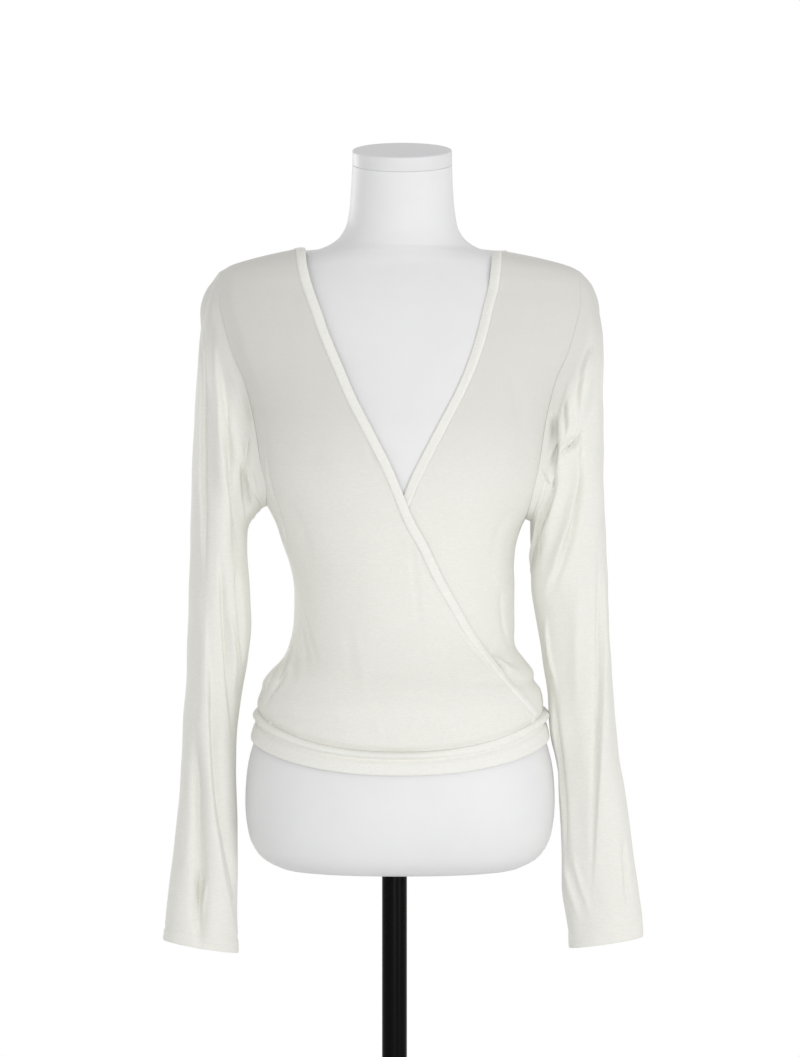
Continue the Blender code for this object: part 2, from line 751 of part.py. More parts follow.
def clear_of_form(points, distance):
    """Moves points that lie inside the form, or too near it, straight out from its middle."""
    z = np.clip(points[..., 2], FORM_BOTTOM, NECK_CUT)
    x = points[..., 0] - FORM_X
    y = points[..., 1]
    width = form_size("width", z) + distance
    depth = np.where(y < 0, form_size("front", z), form_size("back", z)) + distance
    power = form_size("power", z)
    inside = (np.abs(x) / width) ** power + (np.abs(y) / depth) ** power
    grow = np.where(inside < 1, np.maximum(inside, 0.2) ** (-1 / power), 1.0)
    moved = points.copy()
    moved[..., 0] = FORM_X + x * grow
    moved[..., 1] = y * grow
    return moved


def sleeve_rings(table, folds, side):
    """A sleeve's outer surface, ring by ring from the armhole to the cuff."""
    loop = armhole_loop(side)
    sides = len(loop)
    turn = np.linspace(0, 2 * np.pi, sides, endpoint=False)
    tip, pit = loop[0], loop[ARMHOLE_ROWS]
    arc = np.stack([np.cos(turn), np.sin(turn)], -1)
    plain = (tip + pit) / 2 + arc[:, :1] * (tip - pit) / 2 + arc[:, 1:] * np.array([0, -SLEEVE_CAP_DEPTH, 0])
    extra = loop - plain
    rings = [loop]
    depth = column(table, SLEEVE_COLUMNS, "depth")
    for k, (outer_x, outer_z, inner_x, inner_z, half_depth, middle) in enumerate(table):
        outer = np.array([outer_x, middle, outer_z], float)
        inner = np.array([inner_x, middle, inner_z], float)
        share = (k + 1) / len(depth)
        lift = fold_height(folds, np.degrees(turn), np.full(sides, share))
        ring = (outer + inner) / 2 + arc[:, :1] * (outer - inner) / 2
        ring = ring + arc[:, 1:] * np.array([0, -half_depth, 0])
        out = arc[:, :1] * (outer - inner) / np.linalg.norm(outer - inner)
        out = out + arc[:, 1:] * np.array([0, -1.0, 0])
        ring = ring + out * lift[:, None]
        ring = ring + extra * max(0.0, 1 - (k + 1) / SLEEVE_CAP_RINGS) ** 2
        rings.append(ring)
    rings = np.array(rings)
    rings[1:] = clear_of_form(rings[1:], SLEEVE_CLEARANCE)
    return rings


def grid_normals(rings):
    """Outward directions of a closed tube of rings."""
    around = np.roll(rings, -1, 1) - np.roll(rings, 1, 1)
    along = np.gradient(rings, axis=0)
    normal = np.cross(around, along)
    normal /= np.maximum(np.linalg.norm(normal, axis=-1, keepdims=True), 1e-9)
    outward = rings - rings.mean(1, keepdims=True)
    flip = np.sign((normal * outward).sum(-1).mean())
    return normal * flip


def make_sleeve(name, table, folds, side, material):
    rings = sleeve_rings(table, folds, side)
    first = rings[1] - rings[0]
    first /= np.maximum(np.linalg.norm(first, axis=-1, keepdims=True), 1e-9)
    rings[0] += first * SEAM_GAP
    normal = grid_normals(rings)
    shell(name, rings, rings - normal * CLOTH, material, closed=True)


def make_form(material):
    turn = np.linspace(0, 2 * np.pi, FORM_SIDES, endpoint=False)
    z = column(FORM, FORM_COLUMNS, "z")
    rings = np.array([section_point(turn, level, ease=False) for level in z])
    stacked("form_torso", rings, material)


def make_cap(material):
    """The flat cap on the neck, tilted with it."""
    top = FORM[-1]
    turn = np.linspace(0, 2 * np.pi, FORM_SIDES, endpoint=False)
    ring = section_point(turn, top[0], ease=False)
    middle = ring.mean(0)
    tilt = math.radians(top[FORM_COLUMNS.index("tilt")])
    up = np.array([0, -math.sin(tilt), math.cos(tilt)])
    spoke = ring - middle
    radius = np.linalg.norm(spoke, axis=-1, keepdims=True)
    steps = [(0, SEAM_GAP), (0, CAP_HEIGHT - CAP_EDGE)]
    steps += [(CAP_EDGE * 0.3, CAP_HEIGHT - CAP_EDGE * 0.3), (CAP_EDGE, CAP_HEIGHT)]
    rings = np.array([middle + spoke * (1 - inset / radius) + up * rise for inset, rise in steps])
    stacked("neck_cap", rings, material)


def make_stand(pole_material, base_material):
    """The pole under the form, and the plain round plate that it stands on."""
    top = FORM_BOTTOM - SEAM_GAP
    foot = BASE_HEIGHT + SEAM_GAP
    turned("pole", [(POLE_RADIUS, foot), (POLE_RADIUS, top)], pole_material, POLE_SIDES)
    plate = [
        (BASE_RADIUS, 0),
        (BASE_RADIUS, BASE_HEIGHT - BASE_EDGE),
        (BASE_RADIUS - BASE_EDGE * 0.3, BASE_HEIGHT - BASE_EDGE * 0.3),
        (BASE_RADIUS - BASE_EDGE, BASE_HEIGHT),
    ]
    turned("base", plate, base_material, ROUND_SIDES)


def new_material(name, colour, roughness, sheen=0.0, metallic=0.0):
    material = bpy.data.materials.new(name)
    material.use_nodes = True
    shader = material.node_tree.nodes["Principled BSDF"]
    shader.inputs["Base Color"].default_value = colour
    shader.inputs["Roughness"].default_value = roughness
    shader.inputs["Metallic"].default_value = metallic
    shader.inputs["Sheen Weight"].default_value = sheen
    material.diffuse_color = colour
    return material


def clear_scene():
    for obj in list(bpy.data.objects):
        bpy.data.objects.remove(obj, do_unlink=True)


def main():
    clear_scene()
    jersey = new_material("ivory_jersey", IVORY, 0.8, sheen=0.3)
    doubled = new_material("ivory_doubled", IVORY_BAND, 0.75, sheen=0.3)
    white = new_material("form_white", FORM_WHITE, 0.5)
    cap_white = new_material("cap_white", FORM_WHITE, 0.45)
    pole_black = new_material("pole_black", BLACK, 0.2)
    base_black = new_material("base_black", BLACK, 0.35)

    make_form(white)
    make_cap(cap_white)
    make_stand(pole_black, base_black)

    make_front("front_left", UNDER_SEAM, UNDER_SEAM_COLUMNS, 1, UNDER_LEVEL, jersey)
    make_front("front_right", UPPER_SEAM, UPPER_SEAM_COLUMNS, -1, UPPER_LEVEL, jersey)
    make_back(jersey)
    make_sleeve("sleeve_right", SLEEVE_RIGHT, FOLDS_RIGHT, -1, jersey)
    make_sleeve("sleeve_left", SLEEVE_LEFT, FOLDS_LEFT, 1, jersey)

    upper = front_seam(UPPER_SEAM, UPPER_SEAM_COLUMNS)
    under = front_seam(UNDER_SEAM, UNDER_SEAM_COLUMNS)
    make_band("neckband_front_right", turned_line(upper), -1, -1, UPPER_LEVEL, doubled)
    make_band("neckband_front_left", turned_line(under), 1, 1, UNDER_LEVEL, doubled)
    nape = turned_line(back_neck_seam(NAPE_COLUMNS + 1), behind=True)
    make_band("neckband_back", nape, -1, 0, COMMON_LEVEL, doubled)
    make_hem_band(doubled)


main()
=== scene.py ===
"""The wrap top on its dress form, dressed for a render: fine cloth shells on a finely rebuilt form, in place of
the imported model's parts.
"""

import bmesh
import bpy
import numpy as np
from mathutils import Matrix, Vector


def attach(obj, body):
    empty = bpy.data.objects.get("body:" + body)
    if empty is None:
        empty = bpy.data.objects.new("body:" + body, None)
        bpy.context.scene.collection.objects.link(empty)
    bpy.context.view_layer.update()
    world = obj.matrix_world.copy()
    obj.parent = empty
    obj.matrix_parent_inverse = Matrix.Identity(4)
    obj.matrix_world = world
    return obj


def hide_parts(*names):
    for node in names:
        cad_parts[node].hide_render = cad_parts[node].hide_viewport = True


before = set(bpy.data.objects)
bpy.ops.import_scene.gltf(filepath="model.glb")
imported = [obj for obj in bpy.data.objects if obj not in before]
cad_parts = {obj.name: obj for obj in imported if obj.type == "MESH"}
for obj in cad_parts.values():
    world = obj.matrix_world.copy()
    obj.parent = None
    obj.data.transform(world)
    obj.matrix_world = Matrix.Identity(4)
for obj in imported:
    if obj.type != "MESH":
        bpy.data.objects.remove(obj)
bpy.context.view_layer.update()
MM = 0.001

# Driving sizes, in millimetres
FORM_X = 5.5
CLEARANCE = 1.0
SLEEVE_CLEARANCE = 5.0
SEAM_GAP = 0.3
CLOTH = 1.1
LAYER_GAP = 1.1
BAND_WIDTH = 10.0
BAND_CLOTH = 1.7
BLOUSE_TOP = 975.0
BLOUSE_FULL = 925.0
BLOUSE_MORE = 2.0
SHOULDER_LIFT = 1.5
SHOULDER_LIFT_Z = (1300.0, 1330.0, 1346.0, 1362.0)
SLEEVE_CAP_DEPTH = 38.0
SLEEVE_CAP_RINGS = 8
FOLD_SOFTNESS = 1.4
FORM_BOTTOM = 727.5
NECK_CUT = 1431.0
CAP_HEIGHT = 14.5
CAP_EDGE = 1.6
POLE_RADIUS = 12.5
BASE_RADIUS = 160.0
BASE_HEIGHT = 9.0
BASE_EDGE = 2.0

# How finely each piece is divided
PANEL_COLUMNS = 116
BACK_COLUMNS = 140
NAPE_COLUMNS = 90
ARMHOLE_ROWS = 130
SIDE_ROWS = 84
SLEEVE_ROWS = 180
HEM_COLUMNS = 360
HEM_ROWS = 43
SEAM_POINTS = 300
FORM_SIDES = 160
FORM_ROWS = 240
POLE_SIDES = 96
BASE_SIDES = 192
TURN_STEP = 0.03
UP_STEP = 2.5

# The form's rows lie at these heights above its bottom, and then evenly from the next one up
FORM_LOW_ROWS = (0, 0.6, 1.5, 3, 5, 8, 12, 17, 23)
FORM_MAIN = 30

# Levels of a cloth's inner face above the body's surface: under front, back and seams, upper front
UNDER_LEVEL = 0.0
COMMON_LEVEL = 1.0
UPPER_LEVEL = BAND_CLOTH + LAYER_GAP


def table(names, *rows):
    """A table's columns by name."""
    return dict(zip(names.split(), np.array(rows, float).T))


# The form in level cuts: height, half width, depth in front and behind, squareness,
# the cut's middle forward, its middle sideways, and its tilt forward in degrees
FORM = table(
    "z width front back power lean shift tilt",
    (727.5, 98, 61, 69, 2.2, 0, 0, 0),
    (729, 111, 71, 79, 2.2, 0, 0, 0),
    (732.5, 122, 79, 89, 2.2, 0, 0, 0),
    (740, 136, 89, 100, 2.2, 0, 0, 0),
    (755, 147.5, 97.5, 109.5, 2.2, 0, 0, 0),
    (776, 153, 103, 114, 2.2, 0, 0, 0),
    (798, 154.5, 105, 115, 2.2, 0, 0, 0),
    (833, 152, 105, 112, 2.2, 0, 0, 0),
    (854, 147, 103, 108, 2.2, 0, 0, 0),
    (884, 136.5, 99, 100, 2.2, 0, 0, 0),
    (911, 126, 94, 92, 2.15, 0, 0, 0),
    (945, 110, 88, 83, 2.1, 0, 0, 0),
    (975, 103.5, 85, 79, 2.1, 0, 0, 0),
    (1005, 102.5, 86, 78, 2.1, 0, 0, 0),
    (1040, 108, 93, 81, 2.15, 0, 0, 0),
    (1072, 118, 102, 86, 2.2, 0, 0, 0),
    (1093, 129.5, 108, 90, 2.2, 0, 0, 0),
    (1110, 137.5, 110, 92, 2.2, 0, 0, 0),
    (1133, 143, 113, 95, 2.2, 0, 0, 0),
    (1169, 149.5, 112, 98, 2.15, 0, 0, 0),
    (1189, 154.5, 109, 98, 2.1, 0, 0, 0),
    (1218, 170, 104, 97, 2, 0, 0, 0),
    (1253, 190, 96, 94, 1.9, 0, 0, 0),
    (1286, 195, 86, 89, 1.8, 0, 0, 0),
    (1301, 192, 80, 85, 1.75, 0, 0, 0),
    (1314, 185, 74, 80, 1.7, 0, 0, 0),
    (1322, 177, 70, 76, 1.65, 0, 0, 0),
    (1329, 163, 66.5, 72, 1.65, 0, 0, 0),
    (1337, 133, 63.5, 67.5, 1.65, 0, 0, 0),
    (1343, 104, 61, 63.5, 1.7, 0, 0, 0),
    (1348, 83, 59.3, 60.5, 1.8, 0, 0, 1),
    (1355, 68, 56, 57, 1.9, 2, 1, 3),
    (1366, 58, 52, 53, 2, 5, 1.5, 5),
    (1384, 53, 49, 49, 2, 10, 2, 9),
    (1404, 51, 48, 48, 2, 16, 2, 12),
    (1431, 49.5, 47.5, 47.5, 2, 25, 2.2, 15),
)

# How far the cloth stands off the form at -X, +X, front and back, where it blouses or hangs loose
EASE = table(
    "z left right front back",
    (820, 1, 1, 1, 1),
    (850, 1, 1, 1.5, 1),
    (868, 1.5, 2, 5, 3),
    (886, 4, 5.5, 9, 6),
    (897, 8.5, 9.5, 11, 8),
    (909, 9.5, 11.5, 10, 8),
    (917, 11.5, 9, 8, 6),
    (927, 9, 13, 5, 5),
    (938, 3.5, 10, 3.5, 5),
    (952, 1.5, 5.5, 2.5, 5),
    (975, 1, 9, 1.5, 5),
    (1009, 1, 9.5, 1, 5),
    (1036, 1.5, 5, 1, 4),
    (1060, 3.5, 2, 1, 3),
    (1093, 1.5, 1.5, 1.5, 2),
    (1189, 1.5, 1.5, 1.5, 1.5),
    (1240, 2.5, 2.5, 3, 4),
    (1301, 3, 3, 4, 6),
    (1322, 3.5, 3.5, 6, 6),
    (1337, 4, 4, 6, 5),
    (1343, 3.5, 3.5, 5.5, 4),
    (1352, 2, 2, 3, 2),
    (1431, 1, 1, 1, 1),
)

# The seam of the upper front's neckband, from the right shoulder to the left end of the hem seam
UPPER_SEAM = table(
    "reach z",
    (-103, 1343),
    (-99, 1319),
    (-93, 1298),
    (-86, 1279),
    (-78, 1256),
    (-65, 1225),
    (-50, 1190),
    (-33, 1157),
    (-15, 1121),
    (3, 1077),
    (18, 1049),
    (32, 1019),
    (48, 990),
    (65, 961),
    (89, 929),
    (101, 914),
    (115, 899),
    (127, 885),
)

# The same seam of the under front, whose lower end the upper front hides
UNDER_SEAM = table(
    "reach z",
    (101, 1343),
    (99.5, 1325),
    (97, 1306),
    (91, 1283),
    (85.5, 1260),
    (79.5, 1240),
    (72, 1220),
    (62.5, 1199),
    (51, 1177),
    (37, 1150),
    (20, 1116),
    (8, 1088),
    (-7, 1062),
    (-34, 1013),
    (-66, 957),
    (-90, 927),
    (-113, 901),
    (-123, 890),
)

# The seam of the back neckband, from the ridge of the shoulder to the nape
BACK_SEAM = table(
    "reach z",
    (106.5, 1343),
    (92, 1344.5),
    (70, 1347),
    (35, 1350.5),
    (0, 1351.5),
)

# The armhole seam: height, and its reach on the front and on the back
ARMHOLE = table(
    "z front back",
    (1323, 177, 177),
    (1298, 178, 179),
    (1268, 172, 175),
    (1240, 163, 168),
    (1218, 153, 159),
    (1189, 145, 147),
    (1169, 141, 142.5),
    (1133, 135.5, 136),
    (1110, 130.5, 130.5),
)
ARMPIT_RIGHT = 1093
ARMPIT_LEFT = 1080

# The hem band: how high its seam and its lower edge lie at the sides, and how far they dip in front
HEM_SEAM_Z = 890
HEM_SEAM_DIP = 37
HEM_EDGE_Z = 861
HEM_EDGE_DIP = 31
HEM_DIP_BEND = 0.55

# Each sleeve in rings from the armhole to the cuff: the ends of the ring's long axis on the outer line
# and on the underarm line, half its depth, and how far back its middle lies
SLEEVE_COLUMNS = "outer_x outer_z inner_x inner_z depth middle"
SLEEVE_RIGHT = table(
    SLEEVE_COLUMNS,
    (-184, 1313, -133, 1090, 43, 2),
    (-190.5, 1292, -135.5, 1087, 44, 2),
    (-194.5, 1264, -138.5, 1084, 44, 1),
    (-197, 1232, -140.5, 1080.5, 42, 1),
    (-199.5, 1196, -143.5, 1077, 40, 0),
    (-201.3, 1158, -146, 1072, 38, 0),
    (-202.7, 1120, -147.2, 1064, 36, -1),
    (-203.6, 1084, -147.2, 1052, 35, -2),
    (-204.3, 1048, -146.7, 1035, 34, -3),
    (-205.5, 1013, -144.5, 1008, 34, -4),
    (-206.5, 978, -143, 976, 33, -5),
    (-207.2, 943, -146, 943, 31, -6),
    (-208.5, 908, -152, 908, 29, -7),
    (-210.8, 872, -156.7, 872, 28, -8),
    (-212.5, 836, -157.8, 836, 28, -9),
    (-215, 801, -156.7, 801, 28, -10),
    (-219.5, 754, -156.3, 754, 27, -11),
    (-224.5, 713, -156.1, 711, 25, -12),
    (-228.5, 675, -155.8, 665, 24, -12),
    (-230.5, 660, -155.5, 647, 23, -12),
)
SLEEVE_LEFT = table(
    SLEEVE_COLUMNS,
    (197.5, 1312.5, 136, 1076, 43, 2),
    (204, 1292, 136, 1071, 45, 2),
    (208, 1264, 136, 1066, 46, 1),
    (209, 1232, 136, 1060, 45, 1),
    (209, 1196, 136, 1054, 44, 0),
    (209, 1158, 136, 1048, 42, 0),
    (209, 1120, 136, 1041, 40, -1),
    (210.2, 1084, 136.3, 1033, 38, -2),
    (211.7, 1048, 136.8, 1021, 36, -3),
    (212.8, 1013, 138, 1002, 34, -4),
    (214.1, 978, 141.5, 976, 32, -5),
    (215.8, 943, 147.5, 943, 30, -6),
    (218.1, 908, 152.5, 908, 28, -7),
    (221, 872, 154.5, 872, 27, -8),
    (225.1, 836, 160.5, 836, 27, -9),
    (231, 801, 164.2, 801, 27, -10),
    (237.2, 754, 166.5, 754, 26, -11),
    (242.5, 713, 166.9, 713, 24, -12),
    (247.5, 677, 173.1, 667, 23, -12),
    (247.5, 663, 174.1, 652, 22, -12),
)

# The largest folds of a sleeve: turn from the outer line over the front, at the upper and at the lower end,
# the share of the sleeve's length at which each end lies, half the fold's width in degrees, and its height
FOLDS_RIGHT = (
    (100, 104, 0.06, 0.52, 26, 4),
    (136, 130, 0.06, 0.46, 24, -4),
    (48, 52, 0.10, 0.55, 24, -3),
    (66, 118, 0.50, 0.98, 30, 3),
    (96, 88, 0.62, 1.00, 26, -2.5),
    (225, 240, 0.08, 0.50, 30, 3.5),
    (262, 280, 0.15, 0.62, 28, -3),
    (300, 250, 0.45, 0.95, 32, 3),
)
FOLDS_LEFT = (
    (98, 150, 0.05, 0.52, 26, 4.5),
    (140, 168, 0.08, 0.42, 24, -4.5),
    (60, 78, 0.10, 0.50, 26, -2.5),
    (52, 60, 0.45, 0.95, 30, 3),
    (112, 128, 0.50, 0.98, 28, -3),
    (232, 215, 0.08, 0.55, 30, 3.5),
    (276, 262, 0.12, 0.60, 28, -3),
    (285, 305, 0.48, 0.96, 32, 3),
)

# Colours, as linear RGB
IVORY = (0.83, 0.825, 0.775)
IVORY_BAND = (0.86, 0.855, 0.81)
# A darker tone mixed into the single cloth over the upper chest, shoulders and sleeve caps: partly the cloth
# being a little see-through, partly painted shade
SHEER_AND_SHADE_TONE = (0.60, 0.59, 0.56)
FORM_WHITE = (0.80, 0.80, 0.803)
CAP_WHITE = (0.76, 0.76, 0.77)
BLACK = (0.003, 0.003, 0.003)

# The studio's dimming along a direction's axis: from and to which share of it, and the light at both
STUDIO_DIMMING = (
    ("Z", 0.16, 0.75, 1.0, 0.72),
    ("X", -0.85, -0.25, 0.66, 1.0),
    ("X", 0.25, 0.85, 1.0, 0.80),
)

# The camera stands level; one millimetre at the object is one pixel of the photo's height
CAMERA_FAR = 3500
CAMERA_Z = 1069.5
PHOTO_HEIGHT = 1057
SENSOR = 36

# The floor, in metres
FLOOR_RADIUS = 2.6
FLOOR_Z = -0.0005
FLOOR_SIDES = 96

# The lights: name, place, what they face, width and height in metres, and watts
LIGHTS = (
    ("key_right", (2.4, -2.2, 0.8), (0, 0, 0.9), (0.9, 0.9), 14),
    ("front_fill", (0.1, -2.9, 0.7), (0, 0, 0.95), (1.0, 0.8), 11),
    ("back_fill", (-2.2, 2.2, 1.5), (0, 0, 1.0), (0.7, 0.7), 16),
)


def full_turn(count):
    """Angles spaced evenly round a circle."""
    return np.linspace(0, 2 * np.pi, count, endpoint=False)


def unit(vectors):
    return vectors / np.linalg.norm(vectors, axis=-1, keepdims=True)


def smooth_curve(at, places, values):
    """A cubic through a table's values that never overshoots them, read at any place."""
    order = np.argsort(places)
    x = np.asarray(places, float)[order]
    y = np.asarray(values, float)[order]
    step = np.diff(x)
    slope = np.diff(y) / step
    tangent = np.concatenate([slope[:1], (slope[:-1] + slope[1:]) / 2, slope[-1:]])
    turns = slope[:-1] * slope[1:] <= 0
    tangent[1:-1][turns] = 0
    limit = 3 * np.minimum(np.abs(np.r_[slope[:1], slope]), np.abs(np.r_[slope, slope[-1:]]))
    tangent = np.clip(tangent, -limit, limit)
    at = np.clip(np.asarray(at, float), x[0], x[-1])
    i = np.clip(np.searchsorted(x, at, side="right") - 1, 0, len(step) - 1)
    t = (at - x[i]) / step[i]
    rise = y[i] * (1 + 2 * t) * (1 - t) ** 2 + y[i + 1] * t**2 * (3 - 2 * t)
    return rise + step[i] * (tangent[i] * t * (1 - t) ** 2 + tangent[i + 1] * t**2 * (t - 1))


def smooth_step(value, start, end):
    share = np.clip((value - start) / (end - start), 0, 1)
    return share * share * (3 - 2 * share)


def window(value, rise_from, rise_to, fall_from, fall_to):
    """1 between two smooth steps, and 0 outside them."""
    return smooth_step(value, rise_from, rise_to) * (1 - smooth_step(value, fall_from, fall_to))


def form_size(name, z):
    return smooth_curve(z, FORM["z"], FORM[name])


def ease_size(name, z):
    return smooth_curve(z, EASE["z"], EASE[name])


def section_point(turn, z, ease=True):
    """A point of the level cut at z, turned in radians from the front towards +X.

    With ease it lies on the surface that carries the cloth, otherwise on the form.
    """
    turn, z = np.broadcast_arrays(np.asarray(turn, float), np.asarray(z, float))
    across, along = np.sin(turn), np.cos(turn)
    width = form_size("width", z)
    front = form_size("front", z)
    back = form_size("back", z)
    power = 2 / form_size("power", z)
    right = left = width
    if ease:
        right = width + ease_size("right", z)
        left = width + ease_size("left", z)
        front = front + ease_size("front", z)
        back = back + ease_size("back", z)
    x = np.where(across > 0, right, left) * np.sign(across) * np.abs(across) ** power
    y = -np.where(along > 0, front, back) * np.sign(along) * np.abs(along) ** power
    tilt = np.radians(form_size("tilt", z))
    lean = form_size("lean", z)
    shift = form_size("shift", z)
    return np.stack([FORM_X + shift + x, y * np.cos(tilt) - lean, z + y * np.sin(tilt)], -1)


# Distance up the form's outline, which spaces points evenly where the shoulder lies nearly flat
OUTLINE_Z = np.linspace(FORM_BOTTOM, NECK_CUT, 1500)
OUTLINE_STEP = np.hypot(np.diff(form_size("width", OUTLINE_Z)), np.diff(OUTLINE_Z))
OUTLINE_UP = np.concatenate([[0], np.cumsum(OUTLINE_STEP)])


def height_at(up):
    return np.interp(up, OUTLINE_UP, OUTLINE_Z)


def up_at(z):
    return np.interp(z, OUTLINE_Z, OUTLINE_UP)


def body_point(turn, up, level=0.0):
    """A point that lies a level above the surface that carries the cloth."""
    up = np.asarray(up, float)
    z = height_at(up)
    level = level + SHOULDER_LIFT * window(z, *SHOULDER_LIFT_Z)
    point = section_point(turn, z)
    around = section_point(turn + TURN_STEP, z) - section_point(turn - TURN_STEP, z)
    upward = section_point(turn, height_at(up + UP_STEP)) - section_point(turn, height_at(up - UP_STEP))
    return point + unit(np.cross(around, upward)) * level[..., None]


def turn_at(reach, z, behind=False):
    """The turn at which a level cut of the cloth's surface has the given reach."""
    reach, z = np.broadcast_arrays(np.asarray(reach, float), np.asarray(z, float))
    side = np.where(reach > 0, ease_size("right", z), ease_size("left", z))
    share = np.clip(np.abs(reach) / (form_size("width", z) + side), 0, 1)
    turn = np.arcsin(share ** (form_size("power", z) / 2))
    if behind:
        return np.pi - turn * np.sign(reach)
    return turn * np.sign(reach)


def hem_share(turn):
    """How much of the front's dip the hem has at a turn."""
    front = np.cos(turn)
    return (1 - HEM_DIP_BEND) * front + HEM_DIP_BEND * front**2


def hem_seam_z(turn):
    return HEM_SEAM_Z - HEM_SEAM_DIP * hem_share(turn)


def hem_edge_z(turn):
    return HEM_EDGE_Z - HEM_EDGE_DIP * hem_share(turn)


def hem_point(turn):
    """The hem seam's reach and height at a turn."""
    z = hem_seam_z(turn)
    return np.stack([section_point(turn, z)[..., 0] - FORM_X, z], -1)


def bunched(share, amount):
    """Shares from 0 to 1 that lie closer together towards both ends."""
    return share - amount * np.sin(2 * np.pi * share) / (2 * np.pi)


def spread(points, count, amount=0.0):
    """Count points along a chain of reaches and heights, evenly spaced or bunched at its ends."""
    length = np.linalg.norm(np.diff(points, axis=0), axis=1)
    at = np.concatenate([[0], np.cumsum(length)])
    wanted = at[-1] * bunched(np.linspace(0, 1, count), amount)
    return np.stack([np.interp(wanted, at, points[:, k]) for k in range(2)], -1)


def front_seam(rows):
    """A front's neckband seam, from the shoulder to the hem seam, as reaches and heights."""
    places = np.arange(len(rows["z"]))
    at = np.linspace(0, places[-1], SEAM_POINTS)
    reach = smooth_curve(at, places, rows["reach"])
    z = smooth_curve(at, places, rows["z"])
    reach[0] = np.sign(reach[0]) * (form_size("width", z[0]) + ease_size("left", z[0]))
    turn = turn_at(reach, z)
    kept = z > hem_seam_z(turn) + 0.5
    chain = np.stack([reach[kept], z[kept]], -1)
    chain = np.vstack([chain, hem_point(turn[kept][-1])])
    return spread(chain, ARMHOLE_ROWS + SIDE_ROWS + 1, 0.5)


def ridge(first_z, last_z, side, count):
    """The shoulder seam, along the ridge of the shoulder."""
    up = np.linspace(up_at(first_z), up_at(last_z), count)
    z = height_at(up)
    return np.stack([side * (form_size("width", z) + ease_size("left", z)), z], -1)


def side_line(side, behind):
    """A panel's outer edge: the armhole, then the side seam down to the hem seam."""
    armpit = ARMPIT_LEFT if side > 0 else ARMPIT_RIGHT
    top = ARMHOLE["z"][0]
    share = (1 - np.cos(np.linspace(0, np.pi, ARMHOLE_ROWS + 1))) / 2
    z = top + (armpit - top) * share
    reaches = np.append(ARMHOLE["back" if behind else "front"], side_reach(armpit, side))
    reach = smooth_curve(z, np.append(ARMHOLE["z"], armpit), reaches)
    reach[0] = side_reach(top, side)
    armhole = np.stack([side * reach, z], -1)
    down = 1 - (1 - np.linspace(0, 1, SIDE_ROWS + 1)[1:]) ** 1.3
    z = armpit + (hem_seam_z(np.pi / 2) - armpit) * down
    seam = np.stack([side * side_reach(z, side), z], -1)
    return np.vstack([armhole, seam])


def side_reach(z, side):
    return form_size("width", z) + ease_size("right" if side > 0 else "left", z)


def along(line, share):
    """A line's points at shares of its rows."""
    at = np.linspace(0, 1, len(line))
    return np.stack([np.interp(share, at, line[:, k]) for k in range(2)], -1)


def blended(first, last, top, bottom):
    """A grid of reaches and heights between four edges, blended from all of them."""
    s = np.linspace(0, 1, len(top))[:, None]
    t = np.linspace(0, 1, len(first))[:, None, None]
    across = (1 - s) * first[:, None] + s * last[:, None]
    down = (1 - t) * top + t * bottom
    corners = (1 - s) * ((1 - t) * top[0] + t * bottom[0]) + s * ((1 - t) * top[-1] + t * bottom[-1])
    return across + down - corners


def patch(first, last, top, columns, behind=False):
    """A panel's grid of turns and heights between its side edges, its top edge and the hem seam.

    Beside the armhole it is spaced in reaches. Down the side seam, where the body turns away, in turns.
    """
    first_turn = turn_at(first[:, 0], first[:, 1], behind)[:, None]
    last_turn = turn_at(last[:, 0], last[:, 1], behind)[:, None]
    even_turn = first_turn + (last_turn - first_turn) * np.linspace(0, 1, columns + 1)
    hem = hem_point(np.linspace(first_turn[-1, 0], last_turn[-1, 0], 200))
    order = np.argsort(hem[:, 0])
    even_reach = np.linspace(first[-1, 0], last[-1, 0], columns + 1)
    even_hem = np.stack([even_reach, np.interp(even_reach, hem[order, 0], hem[order, 1])], -1)
    above = along(top, np.linspace(0, 1, columns + 1))
    upper = blended(first, last, above, even_hem)
    lower = blended(first, last, np.linspace(first[0], last[0], columns + 1), hem_point(even_turn[-1]))
    row = np.arange(len(first))[:, None]
    mix = smooth_step(row, ARMHOLE_ROWS * 0.5, ARMHOLE_ROWS * 0.9)
    turn = turn_at(upper[..., 0], upper[..., 1], behind)
    z = upper[..., 1] + (lower[..., 1] - upper[..., 1]) * mix
    return np.stack([turn + (even_turn - turn) * mix, z], -1)


def front_grid(rows, side):
    """A front's grid of turns and heights, from its neckband seam to its outer edge."""
    seam = front_seam(rows)
    outer = side_line(side, behind=False)
    shoulder = ridge(seam[0, 1], outer[0, 1], side, 100)
    return patch(seam, outer, shoulder, PANEL_COLUMNS)


def back_neck_seam(count):
    """The back neckband's seam, from the wearer's left shoulder round the nape to the right one."""
    across = np.linspace(BACK_SEAM["reach"][0], 0, 80)
    half = np.stack([across, smooth_curve(across, BACK_SEAM["reach"], BACK_SEAM["z"])], -1)
    half[0, 0] = side_reach(half[0, 1], 1)
    return spread(np.vstack([half, half[-2::-1] * np.array([-1, 1])]), count)


def back_grid():
    """The back's grid, its columns running from the wearer's left side to the right one."""
    left = side_line(1, behind=True)
    right = side_line(-1, behind=True)
    neck = back_neck_seam(61)
    top = np.vstack([
        ridge(left[0, 1], neck[0, 1], 1, 30)[:-1],
        neck,
        ridge(neck[-1, 1], right[0, 1], -1, 30)[1:],
    ])
    return patch(left, right, spread(top, 200), BACK_COLUMNS, behind=True)


def cloth_point(grid, level):
    """Points of the body's surface at turns and heights, raised to a level."""
    return body_point(grid[..., 0], up_at(grid[..., 1]), level)


def line_point(line, level, behind):
    """Points of the body's surface at reaches and heights, raised to a level."""
    return body_point(turn_at(line[:, 0], line[:, 1], behind), up_at(line[:, 1]), level)


